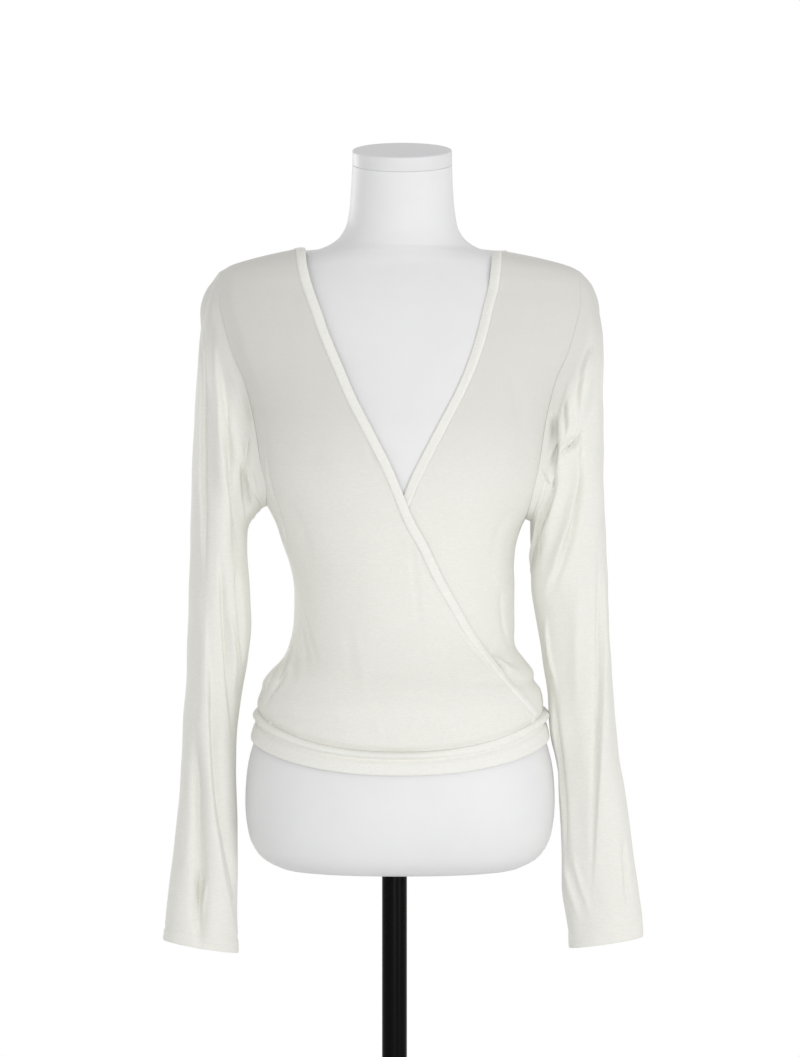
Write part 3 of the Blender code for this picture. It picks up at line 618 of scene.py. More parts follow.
def trimmed(points):
    """Draws the first and the last line of a grid of points in by half a seam's gap."""
    result = points.copy()
    for line, inner in ((0, 1), (-1, -2)):
        step = points[inner] - points[line]
        length = np.linalg.norm(step, axis=-1, keepdims=True)
        result[line] += step * np.minimum(SEAM_GAP / 2 / np.maximum(length, 0.01), 0.4)
    return result


def front_levels(grid, side, level, share=0.0):
    """The inner face's level on a front: its own in the middle, and the common one at its outer side.

    The upper front also blouses a little further out than the under front that it covers.
    """
    near_ridge = smooth_step(side * grid[..., 0] / (np.pi / 2), 0.8, 1.0)
    near_side = smooth_step(share, 0.78, 0.97)
    blouse = smooth_step(grid[..., 1], BLOUSE_TOP, BLOUSE_FULL) * (BLOUSE_MORE if level > 0 else 0)
    return level + blouse + (COMMON_LEVEL - level - blouse) * np.maximum(near_ridge, near_side)


def turned_line(line, behind=False):
    """A line of reaches and heights as turns and heights."""
    return np.stack([turn_at(line[:, 0], line[:, 1], behind), line[:, 1]], -1)


def armhole_loop(side):
    """Points of the armhole seam: down the front, then up the back, outside the panels' faces."""
    front = line_point(side_line(side, False)[: ARMHOLE_ROWS + 1], COMMON_LEVEL + CLOTH, False)
    back = line_point(side_line(side, True)[: ARMHOLE_ROWS + 1], COMMON_LEVEL + CLOTH, True)
    return np.vstack([front, back[-2:0:-1]])


def fold_height(folds, turn, share):
    """How far the folds lift a sleeve's surface at each turn and share of its length."""
    height = np.zeros(np.broadcast(turn, share).shape)
    for turn_top, turn_end, top, end, half_width, rise in folds:
        run = np.clip((share - top) / (end - top), 0, 1)
        middle = turn_top + (turn_end - turn_top) * run
        fade = np.sin(np.pi * run) ** 0.5
        off = (turn - middle + 180) % 360 - 180
        height = height + rise * fade * np.exp(-FOLD_SOFTNESS * (off / half_width) ** 2)
    return height


def clear_of_form(points, distance):
    """Moves points that lie inside the form, or too near it, straight out from its middle."""
    z = np.clip(points[..., 2], FORM_BOTTOM, NECK_CUT)
    x = points[..., 0] - FORM_X
    y = points[..., 1]
    width = form_size("width", z) + distance
    depth = np.where(y < 0, form_size("front", z), form_size("back", z)) + distance
    power = form_size("power", z)
    inside = (np.abs(x) / width) ** power + (np.abs(y) / depth) ** power
    grow = np.where(inside < 1, np.maximum(inside, 0.2) ** (-1 / power), 1.0)
    return np.stack([FORM_X + x * grow, y * grow, points[..., 2]], -1)


# Creases: four places down each in the front view, its half width on the viewer's left and right of the run,
# and its height. A trough is negative
BODY_FRONT = (
    (-126, 1142, -122, 1112, -112, 1078, -102, 1030, 1.8, 3.2, -4.8),
    (15.5, 1064, 18, 1030, 21, 1000, 28, 935, 2.2, 4.5, -1.2),
    (-47, 985, -43, 950, -38, 920, -32, 888, 6, 5, -0.55),
    (-39, 985, -35, 950, -30, 920, -25, 892, 6, 5, 0.4),
    (60, 985, 61, 955, 63, 930, 67, 900, 5.5, 4, 0.6),
    (52, 980, 53, 950, 55, 925, 58, 905, 5, 4, -0.45),
    (-98, 1000, -93, 972, -88, 948, -82, 920, 3, 5, -2.6),
    (-106, 985, -103, 960, -99, 938, -97, 912, 2.5, 3.5, -2.6),
    (92, 948, 103, 936, 114, 928, 130, 923, 1.6, 9, 5),
    (88, 958, 98, 944, 110, 938, 124, 936, 4, 5, -1.4),
    (-104, 950, -116, 932, -128, 911, -136, 894, 3, 2, -4.2),
    (-103, 932, -113, 920, -122, 907, -129, 894, 2, 3.5, -3.4),
    (-100, 966, -104, 946, -112, 927, -122, 904, 2, 3, -3.4),
    (-97, 978, -99, 955, -103, 935, -109, 912, 2.5, 3, 2.2),
    (-90, 990, -86, 970, -80, 950, -74, 930, 2, 3.5, -1.8),
    (-62, 905, -56, 892, -50, 878, -46, 866, 6, 5, 0.5),
    (-20, 892, -17, 882, -14, 872, -12, 862, 4, 3, 0.7),
    (22, 896, 20, 886, 18, 874, 17, 862, 4.5, 3, 0.7),
    (58, 902, 55, 890, 51, 878, 48, 867, 6, 5, 0.5),
    (-112, 1108, -98, 1086, -86, 1056, -78, 1010, 9, 6, -0.9),
    (116, 1092, 104, 1072, 96, 1040, 92, 1000, 6, 9, -0.9),
    (-122, 1150, -104, 1140, -82, 1134, -56, 1132, 5, 8, -0.9),
    (112, 1230, 118, 1206, 122, 1180, 126, 1150, 5, 8, -1.6),
    (104, 1016, 106, 990, 109, 968, 116, 946, 4, 3, -1.6),
)
BODY_BACK = (
    (-128, 1132, -118, 1100, -108, 1068, -101, 1030, 3, 3, -4.2),
    (126, 1130, 116, 1098, 106, 1062, 99, 1022, 3, 3, -4.2),
    (-94, 990, -70, 975, -42, 968, -12, 966, 3, 7, 3.8),
    (90, 1004, 62, 988, 34, 980, 6, 978, 7, 3, 3.5),
    (-84, 966, -62, 950, -40, 943, -18, 941, 3, 6, 3.5),
    (88, 972, 66, 956, 42, 950, 20, 948, 6, 3, 3.8),
    (-74, 938, -66, 922, -60, 908, -57, 894, 3, 5, 3.2),
    (-34, 938, -31, 922, -27, 908, -26, 892, 5, 3, 2.7),
    (4, 936, 5, 920, 8, 907, 8, 892, 5, 3, 3),
    (40, 938, 40, 921, 44, 908, 46, 893, 5, 3, 2.6),
    (76, 934, 80, 919, 84, 908, 86, 895, 3, 5, 3.2),
    (-98, 1184, -84, 1150, -76, 1115, -72, 1066, 9, 5, 2.9),
    (100, 1180, 84, 1146, 78, 1108, 76, 1060, 5, 9, 2.7),
    (-120, 1210, -108, 1180, -100, 1150, -97, 1120, 3, 7, 2.2),
    (118, 1206, 108, 1176, 101, 1146, 98, 1116, 7, 3, 2.2),
)
RIGHT_FRONT = (
    (-179, 1258, -171.5, 1205, -168.5, 1140, -159, 1020, 9, 2.4, 4.6),
    (-167.5, 1215, -165, 1165, -163, 1115, -156, 1050, 1.5, 4, -2.2),
    (-192, 1280, -192.5, 1200, -192, 1110, -191, 1000, 5, 1.4, 2),
    (-188.5, 1278, -189, 1200, -188.5, 1110, -187.5, 1010, 1.5, 3, -2.2),
    (-160, 1252, -150.5, 1215, -143.5, 1180, -141, 1158, 10, 1.8, 3.8),
    (-142, 1168, -145, 1143, -141, 1120, -130, 1080, 6, 1.5, 4),
    (-152, 1140, -150.5, 1120, -149, 1100, -147, 1076, 1.6, 5, -3.2),
    (-158, 1040, -155, 1000, -152.5, 960, -151, 925, 2, 5, -2),
    (-186.5, 1010, -184.5, 870, -176, 765, -152, 640, 11, 1.7, 3.8),
    (-182, 960, -180, 860, -171, 765, -150, 650, 1.6, 9, -3.2),
    (-173, 1050, -170, 990, -166, 930, -160, 850, 1.8, 5, -3),
    (-196, 880, -194.5, 800, -193.5, 730, -192, 600, 6, 7, -3.6),
    (-176, 800, -170, 760, -164, 725, -158, 690, 3, 2, 1.4),
    (-186, 722, -189, 706, -191, 692, -191, 676, 2.5, 2, 1.8),
    (-198, 716, -197, 702, -196, 690, -196, 674, 2, 2.5, 1.4),
    (-193, 738, -194.5, 712, -195, 682, -194, 625, 4, 4.5, -3.4),
    (-163, 985, -160, 960, -158, 935, -157, 905, 2.5, 2.5, 1.6),
)
RIGHT_BACK = (
    (-158, 1240, -172, 1190, -182, 1130, -186, 1060, 3, 9, 4.2),
    (-150, 1180, -160, 1150, -168, 1110, -172, 1070, 3, 3, -2.6),
    (-152, 1120, -166, 1085, -180, 1050, -190, 1010, 3, 7, 3.4),
    (-150, 1034, -166, 1020, -182, 1000, -196, 972, 3, 6, 3.6),
    (-152, 990, -168, 980, -184, 962, -198, 936, 3, 6, 2.8),
    (-162, 930, -170, 880, -180, 810, -190, 730, 3, 8, 3),
    (-200, 900, -204, 850, -206, 790, -208, 710, 7, 3, 2.4),
    (-176, 760, -180, 730, -184, 700, -186, 672, 4, 4, -2.2),
)
LEFT_FRONT = (
    (199, 1252, 187, 1232, 183, 1198, 182, 1150, 1.8, 12, 4.2),
    (182, 1165, 178, 1110, 166, 1055, 145, 996, 5.5, 2, 4.6),
    (186, 1160, 182, 1105, 171, 1052, 151, 996, 1.6, 4, -2.4),
    (186, 1168, 180, 1156, 172, 1149, 161, 1142, 2.2, 1.8, -2.4),
    (184, 1172, 178, 1160, 170, 1154, 160, 1147, 1.8, 3.5, 1.6),
    (167.5, 1196, 168, 1184, 168.5, 1170, 168, 1156, 1.6, 1.6, -1.6),
    (171, 1204, 172, 1190, 173, 1176, 174, 1162, 2, 5, 1.6),
    (147, 1196, 157, 1168, 157.5, 1122, 146, 1066, 5.5, 3, -5),
    (142, 1132, 147, 1126, 152, 1118, 155, 1104, 1.5, 2, 1.6),
    (152, 1104, 147, 1080, 143, 1060, 144, 1040, 2, 3, -3.4),
    (146, 1100, 141, 1068, 137, 1040, 135, 1016, 3.5, 1.6, 2.4),
    (203.5, 1060, 203, 950, 201, 850, 194, 690, 4, 1.5, -1.8),
    (208, 1050, 206.5, 930, 204, 840, 197, 700, 1.8, 11, 3.6),
    (206, 1268, 206.5, 1232, 206, 1200, 206, 1160, 3, 4, -0.8),
    (150, 985, 152, 960, 157, 930, 162, 902, 4, 2, 2),
    (158, 910, 162, 855, 168, 800, 171, 725, 2.5, 4, -2.4),
    (168, 745, 172, 720, 178, 700, 186, 680, 4, 2, 1.8),
    (176, 752, 181, 728, 188, 706, 196, 686, 3, 2, 1.4),
    (228, 770, 229, 740, 231, 710, 233, 688, 4, 3, -1.6),
    (182, 1030, 181, 990, 180, 940, 181, 890, 6, 4, 1.2),
)
LEFT_BACK = (
    (162, 1238, 176, 1190, 186, 1130, 190, 1060, 9, 3, 4.2),
    (152, 1170, 162, 1140, 172, 1105, 178, 1065, 3, 3, -2.6),
    (152, 1110, 168, 1078, 184, 1045, 196, 1008, 7, 3, 3.4),
    (148, 1026, 166, 1012, 184, 994, 200, 966, 6, 3, 3.6),
    (150, 980, 168, 968, 188, 950, 204, 926, 6, 3, 2.8),
    (166, 920, 176, 870, 188, 810, 200, 730, 8, 3, 3),
    (206, 900, 212, 850, 220, 790, 228, 710, 3, 7, 2.4),
    (192, 760, 198, 730, 203, 700, 206, 674, 4, 4, -2.2),
)

# The neckband's section: distance from its seam, and thickness
BAND = table(
    "place thick",
    (-0.5, 0.35),
    (0.2, 0.3),
    (0.7, 1.1),
    (1.6, 1.7),
    (3.2, 1.85),
    (5.2, 1.85),
    (7, 1.8),
    (8.6, 1.6),
    (9.5, 1.25),
    (10, 0.6),
)

# How far a neckband's free edge sinks, how far its lower end runs on into the hem, the share of its length
# over which its ends turn, its droop over what it crosses and where that is, and its slight waves
BAND_SINK = 3.0
BAND_RUN_ON = 1.6
BAND_ENDS = 60
BAND_LOOK_UP = 5.0
BAND_DROOP = 0.2
BAND_DROOP_MORE = 0.5
CROSSING_Z = (1060.0, 1085.0, 1135.0, 1160.0)
BAND_WAVE = 0.06
BAND_WAVE_STEPS = (0.9, 0.23)

# The hem band's section from its seam down: distance out, and share of its height
HEM_FINE = table(
    "out share",
    (0.9, 1),
    (2.7, 0.985),
    (4.6, 0.95),
    (5.8, 0.89),
    (6.3, 0.83),
    (5.8, 0.76),
    (3.8, 0.70),
    (1, 0.665),
    (0.8, 0.60),
    (2.5, 0.46),
    (2.8, 0.25),
    (2.6, 0.1),
    (2.2, 0.025),
    (1.2, -0.01),
    (0.4, 0),
)
# The ridge is the part above this share; its waves (size, number round, start), and where it lies flatter
RIDGE_SHARE = 0.66
RIDGE_WAVES = ((0.10, 5, 0.4), (0.06, 13, 2.0))
RIDGE_FLATTER = 0.65
RIDGE_FLATTER_AT = (0, 25, 50, 72)

# The cuff's turned hem: its depth, the step at its stitching, the ditch beside it, and its rounded edge
CUFF_TURN = 13.5
CUFF_STEP = 0.5
CUFF_STEP_HALF = 0.8
CUFF_DITCH = 0.8
CUFF_DITCH_WIDTH = 1.4
CUFF_EDGE = 0.6
CUFF_EDGE_WIDTH = 0.8

# A crease: points along it, how much the cloth there must face the viewer, how far above and below it
# the cloth is searched, how many half widths it reaches, and where it fades in and out along its run
CREASE_POINTS = 25
CREASE_FACING = 0.05
CREASE_MARGIN = 15
CREASE_REACH = 3
CREASE_FADE = (0, 0.3, 0.6, 1.0)

# Where a panel's creases fade at its edges, as shares of its length and of its width
PANEL_CALM_DOWN = (0, 0.03, 0.985, 1.0)
PANEL_CALM_ACROSS = (0, 0.02, 0.98, 1.0)

# How far from the armhole seam and from the cuff the sleeve's creases fade out
SEAM_CALM = 14
CUFF_CALM = 40
CUFF_CALM_SHARE = 0.35

# Where the cloth's colour is painted greyer, partly because a single layer is a little see-through and partly
# as painted shade over the upper chest, shoulders and sleeve caps: on a sleeve by distance from its seam, and
# by height
SHEER_AND_SHADE_FADE = (10, 34)
SHEER_AND_SHADE_CAP_Z = (1215, 1290)
SHEER_AND_SHADE_CHEST_Z = (1050, 1230)

# The fine cloth: its wall, the angle at which an edge is sharp, how far its inner face stays off the form,
# how much stronger the sleeves' creases and troughs are, and its slow waves by length and height
FINE_CLOTH = 0.9
EDGE_ANGLE = 62
UPPER_LEAST = 1.5
PANEL_LEAST = 0.5
SLEEVE_FOLDS = 1.35
SLEEVE_TROUGHS = 1.5
SLEEVE_WAVES = (55, 0.35)
BODY_WAVES = (70, 0.25)
WAVE_COUNT = 14
DRAW_IN = 7.0


def quads(rows, columns, closed, offset=0, flip=False):
    row, col = np.meshgrid(np.arange(rows - 1), np.arange(columns if closed else columns - 1), indexing="ij")
    after = (col + 1) % columns
    upper, lower = row * columns, (row + 1) * columns
    faces = np.stack([upper + col, lower + col, lower + after, upper + after], -1).reshape(-1, 4) + offset
    return faces[:, ::-1] if flip else faces


def add_object(name, data):
    obj = bpy.data.objects.new(name, data)
    bpy.context.scene.collection.objects.link(obj)
    return obj


def mesh_object(name, points, faces, material, sharp=None):
    mesh = bpy.data.meshes.new(name)
    mesh.from_pydata((np.asarray(points) * MM).tolist(), [], [list(map(int, face)) for face in faces])
    whole = bmesh.new()
    whole.from_mesh(mesh)
    if whole.calc_volume(signed=True) < 0:
        bmesh.ops.reverse_faces(whole, faces=whole.faces)
    whole.to_mesh(mesh)
    whole.free()
    mesh.materials.append(material)
    mesh.shade_smooth()
    if sharp:
        mesh.set_sharp_from_angle(angle=np.radians(sharp))
    return add_object(name, mesh)


def shell(name, outer, inner, material, closed=False, sheer_and_shade_share=None):
    """A slim wall between two grids of points, with a face round each open edge.

    The last argument says, point by point, how far the cloth's colour is greyed: partly the pale form and the
    hollow showing through, and partly painted shade over the upper chest, shoulders and sleeve caps.
    """
    rows, columns = outer.shape[:2]
    size = rows * columns
    faces = [quads(rows, columns, closed), quads(rows, columns, closed, size, True)]
    ids = np.arange(size).reshape(rows, columns)
    rim = [(ids[0], False), (ids[-1], True)]
    if not closed:
        rim += [(ids[:, 0], True), (ids[:, -1], False)]
    for line, flip in rim:
        line = np.append(line, line[0]) if closed else line
        strip = np.stack([line[:-1], line[1:], line[1:] + size, line[:-1] + size], -1)
        faces.append(strip[:, ::-1] if flip else strip)
    points = np.vstack([outer.reshape(-1, 3), inner.reshape(-1, 3)])
    obj = mesh_object(name, points, np.vstack(faces), material, EDGE_ANGLE)
    if sheer_and_shade_share is not None:
        attribute = obj.data.attributes.new("sheer_and_shade", "FLOAT", "POINT")
        attribute.data.foreach_set("value", np.tile(sheer_and_shade_share.ravel(), 2).astype(np.float32))
    return obj


def surface_normals(points, closed=False):
    if closed:
        around = np.roll(points, -1, 1) - np.roll(points, 1, 1)
    else:
        around = np.gradient(points, axis=1)
    down = np.gradient(points, axis=0)
    normal = np.cross(around, down)
    return normal / np.maximum(np.linalg.norm(normal, axis=-1, keepdims=True), 1e-9)


def crease_line(row, points, normals, behind):
    """A crease's run on the surface: a smooth line through its four places, set on the nearest cloth."""
    places = np.array(row[:8], float).reshape(4, 2)
    at = np.linspace(0, 3, CREASE_POINTS)
    line = np.stack([smooth_curve(at, np.arange(4), places[:, k]) for k in range(2)], -1)
    facing = normals[:, 1] > CREASE_FACING if behind else normals[:, 1] < -CREASE_FACING
    near = points[facing]
    lowest, highest = places[:, 1].min() - CREASE_MARGIN, places[:, 1].max() + CREASE_MARGIN
    near = near[(near[:, 2] > lowest) & (near[:, 2] < highest)]
    if not len(near):
        return None
    found = np.array([near[np.argmin((near[:, 0] - x) ** 2 + (near[:, 2] - z) ** 2)] for x, z in line])
    smooth = found.copy()
    for _ in range(3):
        smooth[1:-1] = (smooth[:-2] + 2 * smooth[1:-1] + smooth[2:]) / 4
    return smooth


def crease_lift(points, normals, rows, behind):
    """How far creases lift each point of a surface along its outward direction."""
    flat, out = points.reshape(-1, 3), normals.reshape(-1, 3)
    lift = np.zeros(len(flat))
    for row in rows:
        left, right, height = row[8:]
        line = crease_line(row, flat, out, behind)
        if line is None:
            continue
        reach = CREASE_REACH * max(left, right)
        box = ((flat > line.min(0) - reach) & (flat < line.max(0) + reach)).all(-1)
        near = flat[box]
        best = np.full(len(near), 1e9)
        place = np.zeros(len(near))
        signed = np.zeros(len(near))
        for k in range(len(line) - 1):
            step = line[k + 1] - line[k]
            size = step @ step
            if size < 1e-9:
                continue
            t = np.clip((near - line[k]) @ step / size, 0, 1)
            off = near - line[k] - t[:, None] * step
            far = (off**2).sum(-1)
            better = far < best
            best[better] = far[better]
            place[better] = (k + t[better]) / (len(line) - 1)
            side = (np.cross(step, out[box]) * off).sum(-1)
            signed[better] = np.sign(side[better])
        fade = window(place, *CREASE_FADE)
        lift[box] += height * fade * np.exp(-best / np.where(signed > 0, left, right) ** 2)
    return lift.reshape(points.shape[:2])


def noise_lift(points, scale, height, seed):
    """A soft unevenness of the cloth, from a few slow waves with fixed places."""
    random = np.random.default_rng(seed)
    lift = np.zeros(points.shape[:-1])
    for _ in range(WAVE_COUNT):
        way = random.normal(size=3) * np.array([1.0, 1.0, 0.55])
        way *= random.uniform(0.6, 1.6) / scale
        lift += np.sin(points @ way * 2 * np.pi + random.uniform(0, 2 * np.pi))
    return lift * height / WAVE_COUNT**0.5


def drawn_in(grid):
    """How far a body panel has been drawn in to the hem seam, from 0 above it to 1 on it."""
    return smooth_step(hem_seam_z(grid[..., 0]) + DRAW_IN - grid[..., 1], 0, DRAW_IN)


def draped(grid, inner, front_rows, back_rows, seed, least):
    """A body panel's outer and inner points with its creases, its lower edge drawn in to the hem seam.

    Below the shoulders its outer face stays at least a little way off the form.
    """
    inner = inner + (COMMON_LEVEL - inner) * drawn_in(grid)
    base = cloth_point(grid, inner + FINE_CLOTH)
    normals = surface_normals(base)
    middle = np.array([FORM_X, 0, 0])
    if ((normals * (base - middle))[..., :2].sum(-1)).mean() < 0:
        normals = -normals
    lift = crease_lift(base, normals, front_rows, False) + crease_lift(base, normals, back_rows, True)
    lift += noise_lift(base, *BODY_WAVES, seed)
    down = np.linspace(0, 1, grid.shape[0])[:, None]
    across = np.linspace(0, 1, grid.shape[1])[None]
    calm = window(down, *PANEL_CALM_DOWN) * window(across, *PANEL_CALM_ACROSS)
    raised = base + normals * (lift * calm)[..., None]
    low = raised[..., 2:] < SHOULDER_LIFT_Z[0] - 10
    raised = np.where(low, clear_of_form(raised, least), raised)
    return raised, raised - normals * FINE_CLOTH


def make_front(name, rows, side, level, material, seed):
    grid = front_grid(rows, side)
    inner = front_levels(grid, side, level, np.linspace(0, 1, PANEL_COLUMNS + 1))
    least = FINE_CLOTH + (UPPER_LEAST if level > 0 else PANEL_LEAST)
    outer, lining = draped(grid, inner, BODY_FRONT, (), seed, least)
    # The colour is greyed over the upper chest and shoulders: partly the see-through cloth, partly painted
    # shade
    return shell(name + "_cloth", outer, lining, material, sheer_and_shade_share=chest_share(outer))


def chest_share(points):
    """From 0 at the waist to 1 over the upper chest and the shoulders."""
    return smooth_step(points[..., 2], *SHEER_AND_SHADE_CHEST_Z)


def make_back(material):
    grid = back_grid()
    inner = np.full(grid.shape[:2], COMMON_LEVEL)
    outer, lining = draped(grid, inner, (), BODY_BACK, 3, FINE_CLOTH + PANEL_LEAST)
    # The colour is greyed over the upper chest and shoulders: partly the see-through cloth, partly painted
    # shade
    return shell("back_cloth", outer, lining, material, sheer_and_shade_share=chest_share(outer))


def make_band(name, seam, hand, panel_side, level, material):
    """A neckband: a doubled strip beside its seam, rounded over, with a ditch along the seam."""
    turn, up = seam[:, 0], up_at(seam[:, 1])
    levels = front_levels(seam, panel_side, level) if panel_side else np.full(len(seam), level)
    levels = levels + (COMMON_LEVEL - levels) * drawn_in(seam)
    here = body_point(turn, up, levels)
    run = np.gradient(here, axis=0)
    above = body_point(turn, up, levels + 1) - here
    aside = unit(np.cross(run, above) * hand)
    count = len(here)
    for end in [0] if panel_side else [0, -1]:
        along_ridge = body_point(turn[end], up[end] + BAND_LOOK_UP) - body_point(turn[end], up[end])
        along_ridge /= np.linalg.norm(along_ridge)
        weight = np.exp(-np.abs(np.arange(count) - end % count) / (count / BAND_ENDS))[:, None]
        aside = aside * (1 - weight) + along_ridge * weight
    if panel_side:
        hem = body_point(turn[-1] + [0, 0.01], up_at(hem_seam_z(turn[-1] + [0, 0.01])))
        along_hem = (hem[1] - hem[0]) * np.sign(aside[-1, 0])
        along_hem /= np.linalg.norm(along_hem)
        along_hem /= along_hem @ aside[-1]
        weight = np.exp(-np.arange(count)[::-1] / (count / BAND_ENDS))[:, None]
        aside = aside * (1 - weight) + along_hem * weight
    place, thick = BAND["place"], BAND["thick"]
    sink = BAND_SINK * smooth_step(place, 1.0, BAND_WIDTH) ** 1.5
    inner = here[:, None] + aside[:, None] * place[:, None]
    if level < UPPER_LEVEL:
        inner = clear_of_form(inner - above[:, None] * sink[:, None], CLEARANCE * 0.6)
    else:
        crossing = window(seam[:, 1], *CROSSING_Z)
        blouse = np.maximum(levels - UPPER_LEVEL, 0)
        droop = BAND_DROOP + BAND_DROOP_MORE * blouse + BAND_DROOP_MORE * (1 - crossing)
        inner = inner - above[:, None] * (droop[:, None] * sink / BAND_SINK)[..., None]
    quick, slow = (np.sin(np.arange(count) * step)[:, None] for step in BAND_WAVE_STEPS)
    wave = 1 + BAND_WAVE * quick * slow
    if panel_side:
        inner[-1] += unit(inner[-1] - inner[-3]) * BAND_RUN_ON
    outer = inner + above[:, None] * (thick * wave)[..., None]
    return shell(name + "_cloth", trimmed(outer), trimmed(inner), material)


def make_hem_band(material):
    turn = full_turn(HEM_COLUMNS)
    places = np.arange(len(HEM_FINE["out"]))
    at = np.linspace(0, places[-1], HEM_ROWS)
    out, share = (smooth_curve(at, places, HEM_FINE[name]) for name in ("out", "share"))
    top = hem_seam_z(turn) - SEAM_GAP / 2
    edge = hem_edge_z(turn)
    z = edge + (top - edge) * share[:, None]
    wave = 1
    for size, waves, start in RIDGE_WAVES:
        wave = wave + size * np.sin(waves * turn + start)
    degrees = (np.degrees(turn) + 180) % 360 - 180
    fade = 1 - RIDGE_FLATTER * window(degrees, *RIDGE_FLATTER_AT)
    raised = COMMON_LEVEL + out[:, None] * np.where(share[:, None] > RIDGE_SHARE, wave * fade, 1.0)
    around = np.broadcast_to(turn, z.shape)
    outer = body_point(around, up_at(z), raised)
    inner = body_point(around, up_at(z), np.full_like(z, COMMON_LEVEL - 0.1))
    return shell("hem_band_cloth", outer, inner, material, closed=True)


def sleeve_surface(rows, folds, side):
    """A sleeve's outer surface in fine rings, from the armhole to the cuff."""
    loop = armhole_loop(side)
    count = len(loop)
    turn = full_turn(count)
    tip, pit = loop[0], loop[ARMHOLE_ROWS]
    arc = np.stack([np.cos(turn), np.sin(turn)], -1)
    plain = (tip + pit) / 2 + arc[:, :1] * (tip - pit) / 2 + arc[:, 1:] * np.array([0, -SLEEVE_CAP_DEPTH, 0])
    extra = loop - plain
    last = len(rows["middle"])
    ring = last * (np.linspace(0, 1, SLEEVE_ROWS + 1) ** 1.15)
    places = np.arange(last + 1)

    def read(name, first):
        return smooth_curve(ring, places, np.append(first, rows[name]))

    outer = np.stack([read("outer_x", tip[0]), read("middle", tip[1]), read("outer_z", tip[2])], -1)[:, None]
    inner = np.stack([read("inner_x", pit[0]), read("middle", pit[1]), read("inner_z", pit[2])], -1)[:, None]
    half_depth = read("depth", SLEEVE_CAP_DEPTH)[:, None, None]
    rings = (outer + inner) / 2 + arc[:, :1] * (outer - inner) / 2
    rings = rings + arc[:, 1:] * half_depth * np.array([0, -1.0, 0])
    share = (ring / last)[:, None]
    lift = fold_height(folds, np.degrees(turn)[None], share)
    out = arc[:, :1] * unit(outer - inner)
    out = out + arc[:, 1:] * np.array([0, -1.0, 0])
    rings = rings + out * (lift * np.minimum(1, ring)[:, None])[..., None]
    rings = rings + extra * (np.clip(1 - ring / SLEEVE_CAP_RINGS, 0, 1) ** 2)[:, None, None]
    clear = clear_of_form(rings, SLEEVE_CLEARANCE)
    rings = rings + (clear - rings) * smooth_step(ring, 0, 1)[:, None, None]
    return rings


def make_sleeve(name, rows, folds, side, front_rows, back_rows, material, seed):
    rings = sleeve_surface(rows, folds, side)
    normals = surface_normals(rings, True)
    outward = rings - rings.mean(1, keepdims=True)
    normals *= np.sign((normals * outward).sum(-1).mean())
    lift = crease_lift(rings, normals, front_rows, False) + crease_lift(rings, normals, back_rows, True)
    lift = lift * np.where(lift < 0, SLEEVE_FOLDS * SLEEVE_TROUGHS, SLEEVE_FOLDS)
    lift = lift + noise_lift(rings, *SLEEVE_WAVES, seed)
    length = np.linalg.norm(np.diff(rings, axis=0), axis=-1).mean(1)
    to_cuff = np.append(length[::-1].cumsum()[::-1], 0)[:, None]
    from_seam = np.append(0, length.cumsum())[:, None]
    calm = CUFF_CALM_SHARE + (1 - CUFF_CALM_SHARE) * smooth_step(to_cuff, 0, CUFF_CALM)
    lift = lift * smooth_step(from_seam, 0, SEAM_CALM) * calm
    lift = lift + CUFF_STEP * (1 - smooth_step(to_cuff, CUFF_TURN - CUFF_STEP_HALF, CUFF_TURN + CUFF_STEP_HALF))
    lift = lift - CUFF_DITCH * np.exp(-(((to_cuff - CUFF_TURN) / CUFF_DITCH_WIDTH) ** 2))
    lift = lift - CUFF_EDGE * np.exp(-((to_cuff / CUFF_EDGE_WIDTH) ** 2))
    rings = rings + normals * lift[..., None]
    # Painted shade, mixed with the cloth's see-through greyness: the sleeve's colour darkens near its seam at
    # chest height and over its cap
    beside = chest_share(rings) * (1 - smooth_step(from_seam, *SHEER_AND_SHADE_FADE))
    sheer_and_shade_share = np.maximum(beside, smooth_step(rings[..., 2], *SHEER_AND_SHADE_CAP_Z))
    sleeve = shell(name + "_cloth", rings, rings - normals * FINE_CLOTH, material, closed=True, sheer_and_shade_share=sheer_and_shade_share)
    return sleeve, rings, to_cuff


def make_form(material):
    """The form's own body, in fine level cuts."""
    turn = full_turn(FORM_SIDES)
    low = FORM_BOTTOM + np.array(FORM_LOW_ROWS)
    main_up = np.linspace(up_at(FORM_BOTTOM + FORM_MAIN), up_at(NECK_CUT), FORM_ROWS)
    rings = np.array([section_point(turn, z, ease=False) for z in [*low, *height_at(main_up)]])
    return stacked("form_body", rings, material, 40)


def stacked(name, rings, material, sharp=None):
    """A solid through a stack of rings, its ends closed."""
    count, sides = rings.shape[:2]
    faces = quads(count, sides, True).tolist()
    faces.append(list(range(sides))[::-1])
    faces.append([(count - 1) * sides + k for k in range(sides)])
    return mesh_object(name, rings.reshape(-1, 3), faces, material, sharp)


def make_cap(material):
    """The flat cap that closes the neck, with a fine groove where it meets it."""
    turn = full_turn(FORM_SIDES)
    ring = section_point(turn, FORM["z"][-1], ease=False)
    middle = ring.mean(0)
    tilt = np.radians(FORM["tilt"][-1])
    up = np.array([0, -np.sin(tilt), np.cos(tilt)])
    spoke = ring - middle
    radius = np.linalg.norm(spoke, axis=-1, keepdims=True)
    steps = [(0.5, SEAM_GAP * 0.3), (0.1, SEAM_GAP + 0.2), (0, SEAM_GAP + 0.7), (0, CAP_HEIGHT - CAP_EDGE - 3)]
    steps += [(-inset, rise) for inset, rise in rounded(0, CAP_HEIGHT, CAP_EDGE)]
    steps += [(CAP_EDGE + 3, CAP_HEIGHT), (20, CAP_HEIGHT)]
    rings = np.array([middle + spoke * (1 - inset / radius) + up * rise for inset, rise in steps])
    return stacked("neck_cap_disc", rings, material, 50)


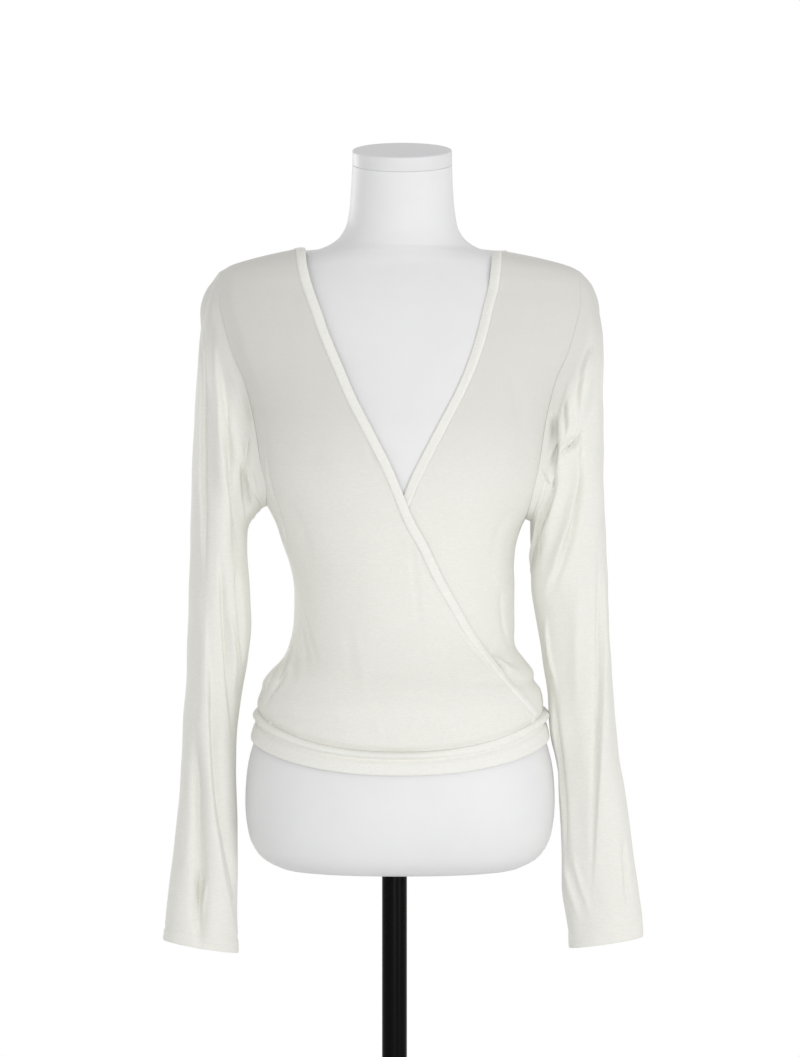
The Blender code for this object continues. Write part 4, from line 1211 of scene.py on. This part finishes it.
def rounded(radius, top, edge, steps=9):
    """Insets and heights of a rounded upper edge."""
    bend = np.radians(np.linspace(0, 90, steps))
    return [(radius - edge * (1 - np.cos(a)), top - edge * (1 - np.sin(a))) for a in bend]


def turned(name, profile, material, sides):
    angle = full_turn(sides)
    rings = [np.stack([r * np.cos(angle), r * np.sin(angle), np.full(sides, z)], -1) for r, z in profile]
    return stacked(name, np.array(rings), material, 40)


def make_stand(pole_material, base_material):
    top, foot = FORM_BOTTOM - SEAM_GAP, BASE_HEIGHT + SEAM_GAP
    edge = 0.6
    pole = [(POLE_RADIUS - edge, foot), (POLE_RADIUS, foot + edge), (POLE_RADIUS, 300), (POLE_RADIUS, 600)]
    pole += [(POLE_RADIUS, top - edge), (POLE_RADIUS - edge, top)]
    plate = [(BASE_RADIUS - 1, 0), (BASE_RADIUS, 1), (BASE_RADIUS, BASE_HEIGHT - BASE_EDGE - 1)]
    plate += rounded(BASE_RADIUS, BASE_HEIGHT, BASE_EDGE)
    plate += [(BASE_RADIUS - BASE_EDGE - 6, BASE_HEIGHT), (60, BASE_HEIGHT)]
    tube = turned("pole_tube", pole, pole_material, POLE_SIDES)
    return tube, turned("base_plate", plate, base_material, BASE_SIDES)


def stitches(name, path, normals, material, pitch=3.2, length=2.3, radius=0.22):
    """A row of short threads lying along a closed path on the cloth."""
    path = np.vstack([path, path[:1]])
    normals = np.vstack([normals, normals[:1]])
    at = np.append(0, np.linalg.norm(np.diff(path, axis=0), axis=1).cumsum())
    count = int(at[-1] / pitch)
    points, faces = [], []
    angle = full_turn(6)
    swell = ((-1.0, 0.35), (-0.6, 0.9), (0.0, 1.0), (0.6, 0.9), (1.0, 0.35))
    for k in range(count):
        middle = (k + 0.5) * at[-1] / count
        for place, size in swell:
            here = middle + place * length / 2
            centre = np.array([np.interp(here, at, path[:, i]) for i in range(3)])
            out = np.array([np.interp(here, at, normals[:, i]) for i in range(3)])
            ahead = np.array([np.interp(here + 0.5, at, path[:, i]) for i in range(3)]) - centre
            side = np.cross(ahead / np.linalg.norm(ahead), out)
            centre = centre + out * (radius * 0.5 - 0.25 * place**2)
            ring = centre + radius * size * (np.cos(angle)[:, None] * side + np.sin(angle)[:, None] * out)
            points.append(ring)
        base = k * len(swell) * 6
        faces += quads(len(swell), 6, True, base).tolist()
        faces.append([base + i for i in range(6)][::-1])
        faces.append([base + (len(swell) - 1) * 6 + i for i in range(6)])
    return mesh_object(name, np.vstack(points), faces, material)


# The colour sockets of a Mix node
COLOUR_A, COLOUR_B, COLOUR_OUT = 6, 7, 2


def link(tree, source, output, target, socket):
    tree.links.new(source.outputs[output], target.inputs[socket])


def set_inputs(node, **values):
    """Sets a node's inputs by name, with _ for a space."""
    for name, value in values.items():
        node.inputs[name.replace("_", " ")].default_value = value


def new_node(tree, kind, **values):
    node = tree.nodes.new("ShaderNode" + kind)
    set_inputs(node, **values)
    return node


def new_material(name, colour, roughness, **values):
    material = bpy.data.materials.new(name)
    material.use_nodes = True
    material.diffuse_color = (*colour, 1)
    shader = material.node_tree.nodes["Principled BSDF"]
    set_inputs(shader, Base_Color=(*colour, 1), Roughness=roughness, **values)
    return material, material.node_tree, shader


def noise(tree, scale, detail, roughness):
    """A noise texture read in the object's own metres."""
    place = new_node(tree, "TexCoord")
    mapping = new_node(tree, "Mapping", Scale=scale)
    node = new_node(tree, "TexNoise", Scale=1.0, Detail=detail, Roughness=roughness)
    link(tree, place, "Object", mapping, "Vector")
    link(tree, mapping, "Vector", node, "Vector")
    return node


def mixed(tree, shader, share, first, second):
    """Sets the colour between two, each an RGB value or an earlier mix, by a node's share of the second."""
    mix = new_node(tree, "Mix")
    mix.data_type = "RGBA"
    for socket, colour in ((COLOUR_A, first), (COLOUR_B, second)):
        if isinstance(colour, tuple):
            mix.inputs[socket].default_value = (*colour, 1)
        else:
            link(tree, colour, COLOUR_OUT, mix, socket)
    link(tree, share, 0, mix, 0)
    link(tree, mix, COLOUR_OUT, shader, "Base Color")
    return mix


def toned(tree, shader, colour, darker, node, low, high, inner=None):
    """Darkens the colour in the low parts of a texture."""
    ramp = new_node(tree, "MapRange", From_Min=low, From_Max=high)
    link(tree, node, 0, ramp, "Value")
    return mixed(tree, shader, ramp, tuple(c * darker for c in colour), inner or colour)


def bumped(tree, shader, layers):
    """Chains bumps of (texture, strength, distance in metres) into the shader's normal."""
    before = None
    for node, strength, distance in layers:
        bump = new_node(tree, "Bump", Strength=strength, Distance=distance)
        link(tree, node, 0, bump, "Height")
        if before:
            link(tree, before, "Normal", bump, "Normal")
        before = bump
    link(tree, before, "Normal", shader, "Normal")


def jersey(name, colour, roughness=0.72, sheer_and_shade=0.0):
    """Fine viscose jersey: faint level slubs, knit courses, and a soft sheen.

    A single layer is a little see-through, and where it lies stretched over the chest and shoulders its colour
    is painted greyer, partly for that and partly as painted shade.
    """
    material, tree, shader = new_material(name, colour, roughness, Specular_IOR_Level=0.3)
    set_inputs(shader, Sheen_Weight=0.2, Sheen_Roughness=0.35, Sheen_Tint=(1, 1, 0.98, 1))
    slub = noise(tree, (80, 80, 720), 3.0, 0.65)
    cloud = noise(tree, (30, 30, 44), 4.0, 0.55)
    speck = noise(tree, (300, 300, 620), 3.0, 0.6)
    tone = toned(tree, shader, colour, 0.985, cloud, 0.35, 0.62)
    tone = toned(tree, shader, colour, 0.965, slub, 0.30, 0.60, tone)
    tone = toned(tree, shader, colour, 0.95, speck, 0.36, 0.60, tone)
    # Painted shade: where the per-point mask is high the colour mixes towards the darker tone, partly for the
    # see-through cloth
    if sheer_and_shade:
        share = new_node(tree, "Attribute")
        share.attribute_name = "sheer_and_shade"
        rise = new_node(tree, "Math")
        rise.operation = "MULTIPLY"
        rise.inputs[1].default_value = sheer_and_shade
        link(tree, share, "Fac", rise, 0)
        mixed(tree, shader, rise, tone, SHEER_AND_SHADE_TONE)
    bumped(tree, shader, [(slub, 0.22, 0.0003), (speck, 0.3, 0.0002)])
    return material


def painted(name, colour, roughness, spread, **values):
    """A smooth moulded or painted surface with a little unevenness in its gloss."""
    material, tree, shader = new_material(name, colour, roughness, **values)
    cloud = noise(tree, (14, 14, 14), 5.0, 0.6)
    grain = noise(tree, (900, 900, 900), 2.0, 0.5)
    ramp = new_node(tree, "MapRange", To_Min=roughness - spread, To_Max=roughness + spread)
    link(tree, cloud, 0, ramp, "Value")
    link(tree, ramp, 0, shader, "Roughness")
    toned(tree, shader, colour, 0.975, cloud, 0.35, 0.6)
    bumped(tree, shader, [(grain, 0.06, 0.0002)])
    return material


def area_light(name, place, aim, size, power):
    light = bpy.data.lights.new(name, "AREA")
    light.shape = "RECTANGLE"
    light.size, light.size_y = size
    light.energy = power
    obj = add_object(name, light)
    obj.location = place
    obj.rotation_euler = (Vector(aim) - Vector(place)).to_track_quat("-Z", "Y").to_euler()


def product(tree, first, second):
    node = new_node(tree, "Math")
    node.operation = "MULTIPLY"
    link(tree, first, 0, node, 0)
    link(tree, second, 0, node, 1)
    return node


def make_world():
    """A white studio, a little dimmer overhead and at the sides."""
    world = bpy.data.worlds.new("studio")
    world.use_nodes = True
    bpy.context.scene.world = world
    tree = world.node_tree
    sky = tree.nodes["Background"]
    place = new_node(tree, "TexCoord")
    parts = new_node(tree, "SeparateXYZ")
    link(tree, place, "Generated", parts, "Vector")
    before = None
    for axis, start, end, first, last in STUDIO_DIMMING:
        shade = new_node(tree, "MapRange", From_Min=start, From_Max=end, To_Min=first, To_Max=last)
        shade.interpolation_type = "SMOOTHSTEP"
        link(tree, parts, axis, shade, "Value")
        before = product(tree, before, shade) if before else shade
    sky.inputs["Color"].default_value = (1, 1, 1, 1)
    link(tree, before, 0, sky, "Strength")


def make_floor():
    floor_material, _, _ = new_material("studio_floor", (0.86, 0.86, 0.86), 0.75)
    mesh = bpy.data.meshes.new("studio_floor")
    angle = full_turn(FLOOR_SIDES)
    x, y = FLOOR_RADIUS * np.cos(angle), FLOOR_RADIUS * np.sin(angle)
    ring = np.stack([x, y, np.full(FLOOR_SIDES, FLOOR_Z)], -1)
    mesh.from_pydata(ring.tolist(), [], [list(range(FLOOR_SIDES))])
    mesh.materials.append(floor_material)
    add_object("studio_floor", mesh)


def make_camera():
    camera = bpy.data.cameras.new("camera")
    camera.sensor_fit = "VERTICAL"
    camera.sensor_height = SENSOR
    camera.lens = SENSOR * CAMERA_FAR / PHOTO_HEIGHT
    obj = add_object("camera", camera)
    obj.location = (FORM_X * MM, -CAMERA_FAR * MM, CAMERA_Z * MM)
    obj.rotation_euler = (np.pi / 2, 0, 0)
    bpy.context.scene.camera = obj


def dress(piece, slot, *nodes):
    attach(piece, "root")
    if nodes:
        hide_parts(*nodes)
    return piece


def main():
    make_camera()
    make_world()
    make_floor()
    for row in LIGHTS:
        area_light(*row)
    bpy.context.scene.view_settings.view_transform = "Standard"

    cloth = jersey("ivory_jersey_knit", IVORY, sheer_and_shade=0.55)
    doubled = jersey("ivory_jersey_doubled", IVORY_BAND, 0.7)
    thread, _, _ = new_material("ivory_thread", (0.84, 0.84, 0.79), 0.5)
    white = painted("form_satin_white", FORM_WHITE, 0.5, 0.05)
    cap_white = painted("cap_satin_white", CAP_WHITE, 0.45, 0.05)
    pole_black = painted("pole_gloss_black", BLACK, 0.25, 0.04, Specular_IOR_Level=0.05)
    base_black = painted("base_satin_black", BLACK, 0.38, 0.05, Specular_IOR_Level=0.3)

    body = make_form(white)
    cap = make_cap(cap_white)
    pole, base = make_stand(pole_black, base_black)
    under = make_front("front_left", UNDER_SEAM, 1, UNDER_LEVEL, cloth, 1)
    upper = make_front("front_right", UPPER_SEAM, -1, UPPER_LEVEL, cloth, 2)
    back = make_back(cloth)
    nape = turned_line(back_neck_seam(NAPE_COLUMNS + 1), behind=True)
    upper_line = turned_line(front_seam(UPPER_SEAM))
    under_line = turned_line(front_seam(UNDER_SEAM))
    band_right = make_band("neckband_front_right", upper_line, -1, -1, UPPER_LEVEL, doubled)
    band_left = make_band("neckband_front_left", under_line, 1, 1, UNDER_LEVEL, doubled)
    band_back = make_band("neckband_back", nape, -1, 0, COMMON_LEVEL, doubled)
    hem = make_hem_band(doubled)
    for piece, slot, node in (
        (body, "form_white", "form_torso"),
        (cap, "cap_white", "neck_cap"),
        (pole, "pole_black", "pole"),
        (base, "base_black", "base"),
        (under, "ivory_jersey", "front_left"),
        (upper, "ivory_jersey", "front_right"),
        (back, "ivory_jersey", "back"),
        (band_right, "ivory_doubled", "neckband_front_right"),
        (band_left, "ivory_doubled", "neckband_front_left"),
        (band_back, "ivory_doubled", "neckband_back"),
        (hem, "ivory_doubled", "hem_band"),
    ):
        dress(piece, slot, node)

    for hand, rows, folds, side, front_rows, back_rows, seed in (
        ("right", SLEEVE_RIGHT, FOLDS_RIGHT, -1, RIGHT_FRONT, RIGHT_BACK, 5),
        ("left", SLEEVE_LEFT, FOLDS_LEFT, 1, LEFT_FRONT, LEFT_BACK, 6),
    ):
        name = "sleeve_" + hand
        sleeve, rings, to_cuff = make_sleeve(name, rows, folds, side, front_rows, back_rows, cloth, seed)
        normals = surface_normals(rings, True)
        normals *= np.sign((normals * (rings - rings.mean(1, keepdims=True))).sum())
        row = int(np.argmin(np.abs(to_cuff[:, 0] - CUFF_TURN)))
        row_of_thread = stitches("cuff_stitches_" + hand, rings[row], normals[row], thread)
        dress(sleeve, "ivory_jersey", name)
        dress(row_of_thread, "ivory_doubled")


main()
